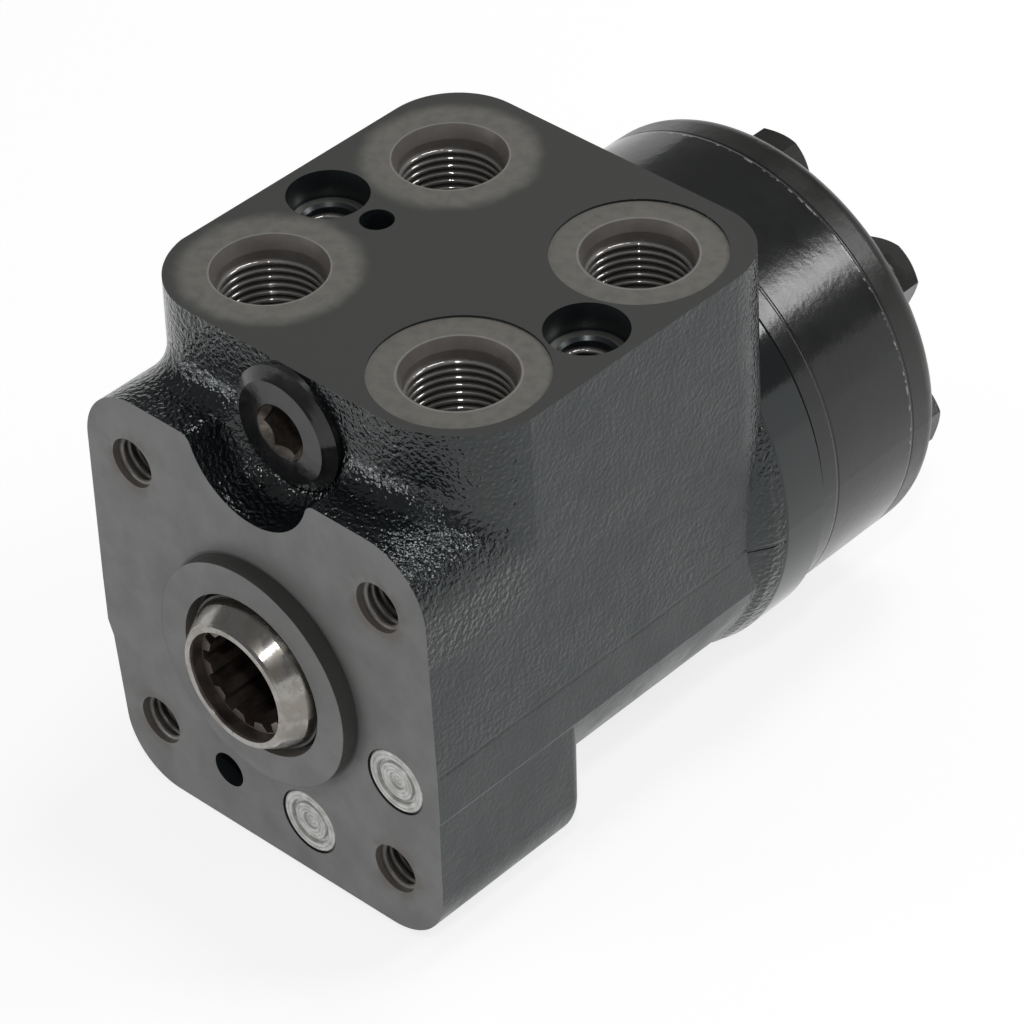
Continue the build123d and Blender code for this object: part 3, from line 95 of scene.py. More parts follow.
class Tree:
    """Adds and joins the nodes of one node tree."""

    def __init__(self, tree: bpy.types.NodeTree) -> None:
        """Keep the tree that the nodes go into."""
        self.tree = tree

    def add(self, kind: str, **settings: object) -> bpy.types.Node:
        """Add one node.

        Args:
            kind: Node type without its ShaderNode prefix.
            settings: Properties set on the node.

        Returns:
            The new node.
        """
        node = self.tree.nodes.new("ShaderNode" + kind)
        for key, value in settings.items():
            setattr(node, key, value)
        return node

    def feed(self, socket: bpy.types.NodeSocket, source: object) -> None:
        """Join a source socket to an input, or set the input to a plain value.

        Args:
            socket: Input that is fed.
            source: Output socket, number or tuple of numbers.
        """
        if isinstance(source, bpy.types.NodeSocket):
            self.tree.links.new(source, socket)
        else:
            socket.default_value = source

    def math(self, operation: str, *sources: object, clamp: bool = False) -> bpy.types.NodeSocket:
        """Do arithmetic on values.

        Args:
            operation: Name of the Math node's operation.
            sources: Its inputs, sockets or numbers.
            clamp: Whether the result is held between 0 and 1.

        Returns:
            Socket of the result.
        """
        node = self.add("Math", operation=operation, use_clamp=clamp)
        for socket, source in zip(node.inputs, sources):
            self.feed(socket, source)
        return node.outputs[0]

    def split(self, vector: bpy.types.NodeSocket) -> tuple[bpy.types.NodeSocket, ...]:
        """Take a vector apart.

        Args:
            vector: Socket of the vector.

        Returns:
            Its three components.
        """
        node = self.add("SeparateXYZ")
        self.feed(node.inputs[0], vector)
        return tuple(node.outputs)

    def below(self, value: object, limit: float) -> bpy.types.NodeSocket:
        """Return 1 where a value is below a limit, else 0."""
        return self.math("LESS_THAN", value, limit)

    def above(self, value: object, limit: float) -> bpy.types.NodeSocket:
        """Return 1 where a value is above a limit, else 0."""
        return self.math("GREATER_THAN", value, limit)

    def both(self, first: object, second: object) -> bpy.types.NodeSocket:
        """Return the product of two masks."""
        return self.math("MULTIPLY", first, second)

    def either(self, *masks: object) -> bpy.types.NodeSocket:
        """Join masks.

        Args:
            masks: Two or more masks.

        Returns:
            The largest of them.
        """
        result = masks[0]
        for mask in masks[1:]:
            result = self.math("MAXIMUM", result, mask)
        return result

    def opposite(self, mask: object) -> bpy.types.NodeSocket:
        """Return 1 where a mask is 0, and the other way round."""
        return self.math("SUBTRACT", 1.0, mask)

    def off(self, value: object, middle: float) -> bpy.types.NodeSocket:
        """Return the distance of a value from a middle one."""
        return self.math("ABSOLUTE", self.math("SUBTRACT", value, middle))

    def far_from(self, first: object, second: object) -> bpy.types.NodeSocket:
        """Return the length of a two-part distance."""
        squares = self.math("ADD", self.math("POWER", first, 2.0), self.math("POWER", second, 2.0))
        return self.math("SQRT", squares)

    def folded(self, value: object, middle: float, offset: float) -> bpy.types.NodeSocket:
        """Return the distance from the nearer of two lines at middle + and - offset."""
        return self.math("SUBTRACT", self.off(value, middle), offset)

    def fade(
        self, value: object, start: float, end: float, low: float = 0.0, high: float = 1.0
    ) -> bpy.types.NodeSocket:
        """Blend smoothly between two values.

        Args:
            value: What the blend follows.
            start: Where the result is low.
            end: Where the result is high.
            low: Result at the start.
            high: Result at the end.

        Returns:
            Socket of the blended value.
        """
        node = self.add("MapRange", interpolation_type="SMOOTHSTEP")
        sources = {"Value": value, "From Min": start, "From Max": end, "To Min": low, "To Max": high}
        for name, source in sources.items():
            self.feed(node.inputs[name], source)
        return node.outputs[0]

    def mix(self, factor: object, first: object, second: object, colour: bool = True) -> bpy.types.NodeSocket:
        """Blend two colours or two values.

        Args:
            factor: Share of the second one.
            first: Colour or value where the factor is 0.
            second: Colour or value where the factor is 1.
            colour: Whether colours are mixed, not values.

        Returns:
            Socket of the blend.
        """
        node = self.add("Mix", data_type="RGBA" if colour else "FLOAT")
        ports = (0, 6, 7, 2) if colour else (0, 2, 3, 0)
        for port, source in zip(ports, (factor, first, second)):
            self.feed(node.inputs[port], source)
        return node.outputs[ports[3]]

    def noise(
        self, vector: object, size: float, detail: float = 3.0, rough: float = 0.55
    ) -> bpy.types.NodeSocket:
        """Return a noise value around 0.5.

        Args:
            vector: Position in millimetres.
            size: Size of the lumps in millimetres.
            detail: Octaves.
            rough: Share of the finer octaves.

        Returns:
            Socket of the noise.
        """
        node = self.add("TexNoise", noise_dimensions="3D")
        sources = {"Vector": vector, "Scale": 1.0 / size, "Detail": detail, "Roughness": rough}
        for name, source in sources.items():
            self.feed(node.inputs[name], source)
        return node.outputs["Fac"]

    def use(self, group: bpy.types.NodeTree, **sources: object) -> bpy.types.Node:
        """Place a node group.

        Args:
            group: The group's node tree.
            sources: Its inputs by name, with _ for a space.

        Returns:
            The group node.
        """
        node = self.add("Group", node_tree=group)
        for name, source in sources.items():
            self.feed(node.inputs[name.replace("_", " ")], source)
        return node


class Effects:
    """Node groups that more than one finish uses, each built once."""

    grain_mm: float = 0.85
    wave_mm: float = 4.5
    pits_per_mm: float = 0.28
    pitted_share: float = 0.38
    pit_edge: tuple[float, float] = (0.15, 0.04)

    @staticmethod
    def _start(
        name: str, inputs: Sequence[tuple[str, str, float]], outputs: Sequence[str]
    ) -> tuple[bpy.types.NodeTree, Tree, bpy.types.Node, bpy.types.Node]:
        """Start a group.

        Args:
            name: Name of the group.
            inputs: Name, socket kind and default of each input.
            outputs: Names of the value outputs.

        Returns:
            The group, its tree helper, its input node and its output node.
        """
        group = bpy.data.node_groups.new(name, "ShaderNodeTree")
        for label, kind, default in inputs:
            socket = group.interface.new_socket(name=label, in_out="INPUT", socket_type="NodeSocket" + kind)
            if kind == "Float":
                socket.default_value = default
        for label in outputs:
            group.interface.new_socket(name=label, in_out="OUTPUT", socket_type="NodeSocketFloat")
        tree = Tree(group)
        entry = group.nodes.new("NodeGroupInput")
        leave = group.nodes.new("NodeGroupOutput")
        return group, tree, entry, leave

    @classmethod
    def grain(cls) -> bpy.types.NodeTree:
        """Build the skin of a sand casting: fine grain, soft waves and scattered pits.

        Returns:
            Group that puts out a height in millimetres and a mask of the pits.
        """
        inputs = (
            ("Position", "Vector", 0.0),
            ("Fine", "Float", 0.05),
            ("Wave", "Float", 0.05),
            ("Pits", "Float", 0.1),
        )
        group, tree, entry, leave = cls._start("sand_cast_skin", inputs, ("Height", "Pit Mask"))
        place = entry.outputs["Position"]
        fine = tree.math("SUBTRACT", tree.noise(place, cls.grain_mm, 1.5, 0.45), 0.5)
        wave = tree.math("SUBTRACT", tree.noise(place, cls.wave_mm, 2.0), 0.5)
        cells = tree.add("TexVoronoi", feature="F1")
        tree.feed(cells.inputs["Vector"], place)
        tree.feed(cells.inputs["Scale"], cls.pits_per_mm)
        chosen = tree.above(tree.split(cells.outputs["Color"])[0], 1.0 - cls.pitted_share)
        pit = tree.both(chosen, tree.fade(cells.outputs["Distance"], *cls.pit_edge))
        grained = tree.both(fine, entry.outputs["Fine"])
        height = tree.math("ADD", grained, tree.both(wave, entry.outputs["Wave"]))
        height = tree.math("SUBTRACT", height, tree.both(pit, entry.outputs["Pits"]))
        tree.feed(leave.inputs["Height"], height)
        tree.feed(leave.inputs["Pit Mask"], pit)
        return group

    @classmethod
    def smudge(cls) -> bpy.types.NodeTree:
        """Build cloudy patches, for stains and handling marks.

        Returns:
            Group that puts out a mask from 0 to 1.
        """
        inputs = (("Position", "Vector", 0.0), ("Size", "Float", 8.0), ("Sharpness", "Float", 0.5))
        group, tree, entry, leave = cls._start("handling_smudges", inputs, ("Mask",))
        node = tree.add("TexNoise", noise_dimensions="3D")
        tree.feed(node.inputs["Vector"], entry.outputs["Position"])
        tree.feed(node.inputs["Scale"], tree.math("DIVIDE", 1.0, entry.outputs["Size"]))
        tree.feed(node.inputs["Detail"], 5.0)
        tree.feed(node.inputs["Roughness"], 0.6)
        spread = tree.math("SUBTRACT", node.outputs["Fac"], 0.5)
        gain = tree.math("ADD", 2.0, tree.math("MULTIPLY", entry.outputs["Sharpness"], 6.0))
        tree.feed(leave.inputs["Mask"], tree.math("ADD", tree.both(spread, gain), 0.5, clamp=True))
        return group

    @classmethod
    def turning(cls) -> bpy.types.NodeTree:
        """Build the fine rings that a turning or facing tool leaves.

        Returns:
            Group that puts out a height from 0 to 1.
        """
        inputs = (("Radius", "Float", 0.0), ("Pitch", "Float", 0.3), ("Position", "Vector", 0.0))
        group, tree, entry, leave = cls._start("turning_marks", inputs, ("Height",))
        wobble = tree.math("MULTIPLY", tree.noise(entry.outputs["Position"], 6.0, 2.0), 0.25)
        turns = tree.math("DIVIDE", tree.math("ADD", entry.outputs["Radius"], wobble), entry.outputs["Pitch"])
        ring = tree.math("SINE", tree.math("MULTIPLY", turns, 2.0 * math.pi))
        tree.feed(leave.inputs["Height"], tree.math("MULTIPLY_ADD", ring, 0.5, 0.5))
        return group


GRAIN = Effects.grain()
SMUDGE = Effects.smudge()
TURNING = Effects.turning()

Colour = tuple[float, float, float, float]


class Surface(Tree):
    """Node tree of one material, with its Principled shader and the position in millimetres."""

    def __init__(self, name: str) -> None:
        """Start a material.

        Args:
            name: Its name.
        """
        self.material = bpy.data.materials.new(name)
        self.material.use_nodes = True
        super().__init__(self.material.node_tree)
        self.shader = self.tree.nodes["Principled BSDF"]
        scale = self.add("VectorMath", operation="SCALE")
        self.feed(scale.inputs[0], self.add("TexCoord").outputs["Object"])
        scale.inputs["Scale"].default_value = 1.0 / MM
        self.place = scale.outputs[0]
        self.x, self.y, self.z = self.split(self.place)

    def set(self, **sources: object) -> None:
        """Feed inputs of the shader by name, with _ for a space."""
        for name, source in sources.items():
            self.feed(self.shader.inputs[name.replace("_", " ")], source)

    def relief(self, height: bpy.types.NodeSocket) -> None:
        """Give the surface a relief.

        Args:
            height: Height in millimetres.
        """
        bump = self.add("Bump")
        bump.inputs["Strength"].default_value = 1.0
        bump.inputs["Distance"].default_value = MM
        self.feed(bump.inputs["Height"], height)
        self.feed(self.shader.inputs["Normal"], bump.outputs["Normal"])

    def normal(self) -> tuple[bpy.types.NodeSocket, ...]:
        """Return the components of the face's own normal."""
        return self.split(self.add("NewGeometry").outputs["True Normal"])

    def from_axis(self, x: float = 0.0, z: float = 0.0) -> bpy.types.NodeSocket:
        """Return the distance in millimetres from a line along Y."""
        return self.far_from(self.math("SUBTRACT", self.x, x), self.math("SUBTRACT", self.z, z))


# Finishes


def toned(colour: Colour, share: float) -> Colour:
    """Return a colour made darker or paler by a factor."""
    return tuple(share * part for part in colour[:3]) + (1.0,)


@dataclass(frozen=True)
class HousingPlaces:
    """Masks and distances that tell the surfaces of the housing apart."""

    front: bpy.types.NodeSocket
    top: bpy.types.NodeSocket
    bored: bpy.types.NodeSocket
    ledge: bpy.types.NodeSocket
    boss_side: bpy.types.NodeSocket
    smooth: bpy.types.NodeSocket
    rough_cast: bpy.types.NodeSocket
    crease: bpy.types.NodeSocket
    port_r: bpy.types.NodeSocket
    bolt_r: bpy.types.NodeSocket


@dataclass(frozen=True)
class HousingFinish:
    """Painted sand casting with machined faces and bores."""

    paint: Colour = (0.0112, 0.0142, 0.0160, 1.0)
    paint_level: float = 0.6
    paint_tint: Colour = (0.94, 1.0, 1.0, 1.0)
    front_iron: Colour = (0.150, 0.150, 0.146, 1.0)
    boss_side: Colour = (0.085, 0.077, 0.070, 1.0)
    port_iron: Colour = (0.054, 0.055, 0.051, 1.0)
    halo_iron: Colour = (0.168, 0.161, 0.143, 1.0)
    # Pale iron of the recess ledges, also used as a painted highlight on the port rims.
    ledge_iron_and_rim_highlight: Colour = (0.300, 0.300, 0.280, 1.0)
    bore_iron: Colour = (0.225, 0.208, 0.194, 1.0)
    rust: Colour = (0.095, 0.070, 0.055, 1.0)

    # Machined faces, bores and recesses
    facing: float = 0.9
    front_y: float = 0.3
    boss_y: float = -0.05
    boss_edge_r: float = 22.3
    bore_r: float = 21.9
    top_z: float = 56.5
    port_x: float = 22.0
    port_y: float = 22.05
    port_wall_r: float = 10.6
    port_low_z: float = 35.0
    port_mouth_r: float = 10.3
    spot_r: float = 15.4
    middle_y: float = 50.55
    recess_x: float = 30.13
    recess_wall_r: float = 7.7
    recess_low_z: float = 34.0
    ledge_r: float = 7.0
    ledge_z: float = 51.95
    bolt_offset: float = 29.17
    bolt_wall_r: float = 5.0
    bolt_end_y: float = 26.0
    rear_rim_y: float = 85.5
    rear_flange_r: float = 44.4

    # Cast surfaces: coarser in the hollow above the flange and on the rear neck, where the paint is also
    # painted darker as shade
    hollow_y: tuple[float, float] = (28.0, 18.0)
    hollow_z: tuple[float, float] = (18.0, 26.0)
    neck_y: tuple[float, float] = (78.0, 84.0)
    parting_z: float = -1.8
    parting_blend: float = 0.6
    lower_share: float = 0.45
    crease_edge: tuple[float, float] = (0.6, 0.2)
    crease_depth: float = 0.5
    grain: tuple[float, float] = (0.20, 0.42)
    wave: tuple[float, float] = (0.17, 0.25)
    pit_depth: float = 0.55

    def build(self) -> bpy.types.Material:
        """Build the material.

        Returns:
            Material that shows paint, machined iron or bored iron by place and direction.
        """
        s = Surface("housing_finish")
        places = self._places(s)
        skin = self._skin(s, places)
        smudges = s.use(SMUDGE, Position=s.place, Size=9.0, Sharpness=0.3).outputs["Mask"]
        halo = self._halo(s, places)
        self._colour(s, places, smudges, halo, skin.outputs["Pit Mask"])
        self._gloss(s, places, smudges, halo)
        self._relief(s, places, halo, skin.outputs["Height"])
        return s.material

    def _places(self, s: Surface) -> HousingPlaces:
        """Tell the surfaces of the housing apart.

        Args:
            s: The material's node tree.

        Returns:
            A mask for each kind of surface, and distances from the ports and mounting holes.
        """
        _, normal_y, normal_z = s.normal()
        faces_front = s.below(normal_y, -self.facing)
        faces_up = s.above(normal_z, self.facing)
        not_front = s.above(normal_y, -self.facing)
        boss = s.below(s.y, self.boss_y)
        front = s.either(s.both(s.below(s.y, self.front_y), faces_front), boss)
        top = s.both(s.above(s.z, self.top_z), faces_up)
        port_r = s.far_from(s.folded(s.x, 0.0, self.port_x), s.folded(s.y, self.middle_y, self.port_y))
        port = s.both(s.below(port_r, self.port_wall_r), s.above(s.z, self.port_low_z))
        port = s.both(port, s.opposite(top))
        along_y = s.math("SUBTRACT", s.y, self.middle_y)
        recess_r = s.far_from(s.folded(s.x, 0.0, self.recess_x), along_y)
        recess = s.both(s.below(recess_r, self.recess_wall_r), s.above(s.z, self.recess_low_z))
        ledge = s.both(s.below(recess_r, self.ledge_r), s.below(s.z, self.ledge_z + 0.1))
        bolt_r = s.far_from(s.folded(s.x, 0.0, self.bolt_offset), s.folded(s.z, 0.0, self.bolt_offset))
        bolt = s.both(s.below(bolt_r, self.bolt_wall_r), s.both(s.below(s.y, self.bolt_end_y), not_front))
        bore = s.both(s.below(s.from_axis(), self.bore_r), not_front)
        bored = s.either(port, bolt, bore)
        rim = s.both(s.above(s.y, self.rear_rim_y), s.below(s.from_axis(), self.rear_flange_r))
        smooth = s.either(front, top, bored, recess, rim)
        hollow = s.both(s.fade(s.y, *self.hollow_y), s.fade(s.z, *self.hollow_z))
        at_parting = s.fade(s.off(s.z, self.parting_z), *self.crease_edge)
        return HousingPlaces(
            front=front,
            top=top,
            bored=bored,
            ledge=s.both(ledge, faces_up),
            boss_side=s.both(boss, s.above(normal_y, -0.5)),
            smooth=smooth,
            rough_cast=s.either(hollow, s.fade(s.y, *self.neck_y)),
            crease=s.both(at_parting, s.opposite(smooth)),
            port_r=port_r,
            bolt_r=bolt_r,
        )

    def _skin(self, s: Surface, places: HousingPlaces) -> bpy.types.Node:
        """Place the skin of the casting, smoother below the parting plane.

        Args:
            s: The material's node tree.
            places: The surfaces of the housing.

        Returns:
            The skin's group node.
        """
        high = self.parting_z + self.parting_blend
        lower = s.fade(s.z, high, self.parting_z - self.parting_blend, 1.0, self.lower_share)
        side_grain, coarse_grain = self.grain
        side_wave, coarse_wave = self.wave
        return s.use(
            GRAIN,
            Position=s.place,
            Fine=s.mix(places.rough_cast, s.both(lower, side_grain), coarse_grain, colour=False),
            Wave=s.mix(places.rough_cast, s.both(lower, side_wave), coarse_wave, colour=False),
            Pits=s.both(lower, self.pit_depth),
        )

    def _halo(self, s: Surface, places: HousingPlaces) -> bpy.types.NodeSocket:
        """Find the pale ring round each port, crisp on the right and worn on the left.

        Args:
            s: The material's node tree.
            places: The surfaces of the housing.

        Returns:
            Mask of the rings.
        """
        wavy_r = s.math("ADD", places.port_r, s.math("MULTIPLY", s.noise(s.place, 5.0), 2.4))
        worn = s.fade(wavy_r, 18.6, 14.9)
        halo = s.mix(s.above(s.x, 0.0), worn, s.below(places.port_r, self.spot_r), colour=False)
        return s.both(halo, s.fade(s.noise(s.place, 2.2, 5.0), 0.3, 0.62, 0.7, 1.0))

    def _front_colour(
        self, s: Surface, places: HousingPlaces, smudges: bpy.types.NodeSocket
    ) -> bpy.types.NodeSocket:
        """Colour the machined front, rusty round the mounting holes, with a painted shadow line at the boss's
        foot.

        Args:
            s: The material's node tree.
            places: The surfaces of the housing.
            smudges: Handling smudges.

        Returns:
            Colour of the front.
        """
        colour = s.mix(smudges, self.front_iron, toned(self.front_iron, 0.86))
        stain = s.both(s.fade(places.bolt_r, 7.6, 5.2), s.fade(smudges, 0.3, 0.8))
        colour = s.mix(s.both(stain, 0.55), colour, self.rust)
        colour = s.mix(places.boss_side, colour, self.boss_side)
        # Painted shadow: a dark line in the paint colour on the front face, round the foot of the boss.
        foot = s.fade(s.off(s.from_axis(), self.boss_edge_r), 0.5, 0.1)
        return s.mix(s.both(foot, 0.6), colour, self.paint)

    def _colour(
        self,
        s: Surface,
        places: HousingPlaces,
        smudges: bpy.types.NodeSocket,
        halo: bpy.types.NodeSocket,
        pits: bpy.types.NodeSocket,
    ) -> None:
        """Colour paint, front, port face and bores, with painted shade in the pits, along the crease, in the
        hollow and on the rear neck, and a painted highlight on the port rims.

        Args:
            s: The material's node tree.
            places: The surfaces of the housing.
            smudges: Handling smudges.
            halo: Rings round the ports.
            pits: Pits of the casting.
        """
        # Painted shade: the paint is darkened in the casting's pits and along the parting crease, and kept at
        # 0.55 of its colour in the hollow above the flange and on the rear neck.
        pit_and_crease_shade = s.either(s.both(pits, 0.45), places.crease)
        shade = s.mix(places.rough_cast, s.math("MULTIPLY_ADD", pit_and_crease_shade, -0.8, 1.0), 0.55, colour=False)
        paint = s.add("VectorMath", operation="SCALE")
        s.feed(paint.inputs[0], self.paint[:3])
        s.feed(paint.inputs["Scale"], shade)
        colour = s.mix(places.front, paint.outputs[0], self._front_colour(s, places, smudges))
        # Painted highlight: a pale thin line on the rim of each port's mouth. The same pale iron colours the
        # machined ledges of the valve block recesses.
        mouth = s.fade(s.off(places.port_r, self.port_mouth_r + 0.15), 0.25, 0.05)
        top_colour = s.mix(halo, self.port_iron, self.halo_iron)
        top_colour = s.mix(s.both(mouth, 0.6), top_colour, self.ledge_iron_and_rim_highlight)
        colour = s.mix(places.top, colour, top_colour)
        colour = s.mix(places.bored, colour, s.mix(s.both(smudges, 0.4), self.bore_iron, self.rust))
        s.set(Base_Color=s.mix(places.ledge, colour, self.ledge_iron_and_rim_highlight))

    def _gloss(
        self, s: Surface, places: HousingPlaces, smudges: bpy.types.NodeSocket, halo: bpy.types.NodeSocket
    ) -> None:
        """Set the gloss of each surface.

        Args:
            s: The material's node tree.
            places: The surfaces of the housing.
            smudges: Handling smudges.
            halo: Rings round the ports.
        """
        rough = s.mix(places.rough_cast, s.fade(smudges, 0.0, 1.0, 0.3, 0.4), 0.09, colour=False)
        rough = s.mix(places.front, rough, s.fade(smudges, 0.0, 1.0, 0.46, 0.56), colour=False)
        rough = s.mix(places.top, rough, s.mix(halo, 0.42, 0.55, colour=False), colour=False)
        rough = s.mix(places.bored, rough, 0.38, colour=False)
        s.set(Roughness=rough, Metallic=s.either(s.both(places.bored, 0.3), s.both(places.ledge, 0.8)))
        s.set(Specular_IOR_Level=self.paint_level, Specular_Tint=self.paint_tint)

    def _relief(
        self, s: Surface, places: HousingPlaces, halo: bpy.types.NodeSocket, skin: bpy.types.NodeSocket
    ) -> None:
        """Give the casting its skin and crease, and the machined faces their fine marks.

        Args:
            s: The material's node tree.
            places: The surfaces of the housing.
            halo: Rings round the ports, which show the facing tool's marks.
            skin: Height of the cast skin.
        """
        cast = s.math("SUBTRACT", skin, s.both(places.crease, self.crease_depth))
        cast = s.both(cast, s.opposite(places.smooth))
        facing = s.use(TURNING, Radius=places.port_r, Pitch=0.45, Position=s.place).outputs["Height"]
        facing = s.both(s.both(facing, halo), s.both(places.top, 0.004))
        peel = s.both(s.noise(s.place, 0.8), 0.012)
        s.relief(s.math("ADD", s.math("ADD", cast, facing), s.both(peel, places.smooth)))


@dataclass(frozen=True)
class PaintFinish:
    """Smooth black paint over turned steel."""

    name: str
    colour: Colour
    gloss: tuple[float, float]
    peel: float = 0.03
    seams: tuple[float, ...] = (96.5, 101.0, 122.0)
    seam_low_r: float = 42.0
    sparkle_line_offset: float = 0.55
    # Colour of the painted sparkle highlights beside the last seam.
    bright: Colour = (0.32, 0.32, 0.30, 1.0)
    shadow: Colour = (0.003, 0.003, 0.003, 1.0)

    def build(self) -> bpy.types.Material:
        """Build the material.

        Returns:
            Paint that is glossier where the smudges are thin, with dark seams at the joint faces and
            pale chips beside the last one.
        """
        s = Surface(self.name)
        smudges = s.use(SMUDGE, Position=s.place, Size=14.0, Sharpness=0.3).outputs["Mask"]
        colour = s.mix(smudges, self.colour, toned(self.colour, 1.35))
        off = s.off(s.y, self.seams[0])
        for seam in self.seams[1:]:
            off = s.math("MINIMUM", off, s.off(s.y, seam))
        outer = s.above(s.from_axis(), self.seam_low_r)
        groove = s.both(s.fade(off, 0.42, 0.12), outer)
        # Painted highlight: a line of pale sparkles on the paint, just in front of the last seam.
        last = s.off(s.y, self.seams[-1] - self.sparkle_line_offset)
        seam_sparkle_highlight = s.both(s.fade(last, 0.22, 0.1), s.fade(s.noise(s.place, 1.3, 4.0), 0.52, 0.62))
        colour = s.mix(s.both(seam_sparkle_highlight, outer), colour, self.bright)
        s.set(Base_Color=s.mix(groove, colour, self.shadow))
        s.set(Roughness=s.fade(smudges, 0.0, 1.0, *self.gloss), Specular_IOR_Level=0.5)
        peel = s.math("ADD", s.noise(s.place, 1.5), s.math("MULTIPLY", s.noise(s.place, 9.0, 1.0), 2.0))
        s.relief(s.math("SUBTRACT", s.both(peel, self.peel), s.both(groove, 0.3)))
        return s.material


@dataclass(frozen=True)
class PlugFinish:
    """Glossy painted screw plug with a bare, slightly rusty hexagon socket."""

    paint: Colour = (0.008, 0.008, 0.009, 1.0)
    bare: Colour = (0.17, 0.148, 0.128, 1.0)
    axis_z: float = 45.6
    socket_r: float = 5.5
    face_y: float = 8.25

    def build(self) -> bpy.types.Material:
        """Build the material.

        Returns:
            Glossy paint, bare and stained in the socket.
        """
        s = Surface("relief_plug_finish")
        radius = s.from_axis(0.0, self.axis_z)
        socket = s.both(s.below(radius, self.socket_r), s.above(s.y, self.face_y))
        smudges = s.use(SMUDGE, Position=s.place, Size=3.0, Sharpness=0.6).outputs["Mask"]
        inside = s.mix(smudges, self.bare, toned(self.bare, 0.45))
        s.set(Base_Color=s.mix(socket, self.paint, inside))
        s.set(Metallic=s.both(socket, 0.75), Specular_IOR_Level=0.5)
        s.set(Roughness=s.mix(socket, s.fade(smudges, 0.0, 1.0, 0.14, 0.22), 0.3, colour=False))
        s.relief(s.both(s.noise(s.place, 1.2), 0.02))
        return s.material


@dataclass(frozen=True)
class SteelFinish:
    """Bare steel, ground or turned, with light handling marks."""

    name: str
    colour: Colour
    gloss: tuple[float, float]
    stain: Colour
    stain_share: float = 0.35
    marks: float = 0.002
    pitch: float = 0.25
    metal: float = 1.0
    oil: float = 0.0
    oil_gloss: float = 0.03
    oil_index: float = 2.4

    def build(self) -> bpy.types.Material:
        """Build the material.

        Returns:
            Steel with rings round the steering axis, stained patches and, where oil is 1, a film of it.
        """
        s = Surface(self.name)
        smudges = s.use(SMUDGE, Position=s.place, Size=7.0, Sharpness=0.5).outputs["Mask"]
        s.set(Base_Color=s.mix(s.both(smudges, self.stain_share), self.colour, self.stain))
        s.set(Roughness=s.fade(smudges, 0.0, 1.0, *self.gloss), Metallic=self.metal)
        s.set(Coat_Weight=self.oil, Coat_Roughness=self.oil_gloss, Coat_IOR=self.oil_index)
        rings = s.use(TURNING, Radius=s.math("ADD", s.y, s.from_axis()), Pitch=self.pitch, Position=s.place)
        s.relief(s.both(rings.outputs["Height"], self.marks))
        return s.material


@dataclass(frozen=True)
class HubFinish:
    """Polished hub outside, oily dark spline teeth inside."""

    polished: Colour = (0.33, 0.32, 0.305, 1.0)
    stain: Colour = (0.20, 0.18, 0.15, 1.0)
    oily: Colour = (0.105, 0.085, 0.074, 1.0)
    tooth_face: Colour = (0.20, 0.17, 0.155, 1.0)
    bore_r: float = 10.75
    rim_y: float = -7.25

    def build(self) -> bpy.types.Material:
        """Build the material.

        Returns:
            Polished steel outside and oily, dark steel within the bore.
        """
        s = Surface("hub_finish")
        radius = s.from_axis()
        inside = s.both(s.below(radius, self.bore_r), s.above(s.y, self.rim_y))
        smudges = s.use(SMUDGE, Position=s.place, Size=5.0, Sharpness=0.7).outputs["Mask"]
        spots = s.fade(s.noise(s.place, 1.1, 2.0), 0.66, 0.74)
        outside = s.mix(s.math("MAXIMUM", s.both(smudges, 0.6), spots), self.polished, self.stain)
        ends = s.below(s.normal()[1], -0.5)
        within = s.mix(ends, s.mix(smudges, self.oily, toned(self.oily, 0.45)), self.tooth_face)
        s.set(Base_Color=s.mix(inside, outside, within))
        s.set(Metallic=s.mix(inside, 1.0, 0.6, colour=False))
        s.set(Roughness=s.mix(inside, s.fade(smudges, 0.0, 1.0, 0.16, 0.34), 0.45, colour=False))
        rings = s.use(TURNING, Radius=s.math("ADD", s.y, radius), Pitch=0.22, Position=s.place)
        dents = s.both(s.noise(s.place, 3.5, 1.0), 0.03)
        s.relief(s.math("ADD", s.both(rings.outputs["Height"], 0.002), dents))
        return s.material


@dataclass(frozen=True)
class SilverPlugFinish:
    """Pale pressed plugs with turned rings and chalky residue."""

    bright: Colour = (0.62, 0.62, 0.60, 1.0)
    dark: Colour = (0.27, 0.27, 0.26, 1.0)
    places: tuple[tuple[float, float], tuple[float, float]] = ((30.6, -8.3), (8.1, -31.1))

    def build(self) -> bpy.types.Material:
        """Build the material.

        Returns:
            Pale metal whose rings are centred on the nearer plug.
        """
        s = Surface("pressed_plug_finish")
        right, low = (s.from_axis(*place) for place in self.places)
        radius = s.math("MINIMUM", right, low)
        rings = s.use(TURNING, Radius=radius, Pitch=0.75, Position=s.place).outputs["Height"]
        smudges = s.use(SMUDGE, Position=s.place, Size=2.2, Sharpness=0.5).outputs["Mask"]
        shade = s.math("ADD", s.both(rings, 0.35), s.both(smudges, 0.4), clamp=True)
        s.set(Base_Color=s.mix(shade, self.bright, self.dark))
        s.set(Metallic=0.45, Roughness=s.fade(smudges, 0.0, 1.0, 0.4, 0.6))
        s.relief(s.math("ADD", s.both(rings, 0.09), s.both(s.noise(s.place, 0.6), 0.06)))
        return s.material


@dataclass(frozen=True)
class SoftFinish:
    """Rubber or filled plastic with a fine moulded texture."""

    name: str
    colour: Colour
    rough: tuple[float, float]

    def build(self) -> bpy.types.Material:
        """Build the material.

        Returns:
            Soft material, paler and rougher where it is dusty.
        """
        s = Surface(self.name)
        smudges = s.use(SMUDGE, Position=s.place, Size=4.0, Sharpness=0.4).outputs["Mask"]
        s.set(Base_Color=s.mix(smudges, self.colour, toned(self.colour, 1.5)))
        s.set(Roughness=s.fade(smudges, 0.0, 1.0, *self.rough))
        s.relief(s.both(s.noise(s.place, 0.4), 0.02))
        return s.material


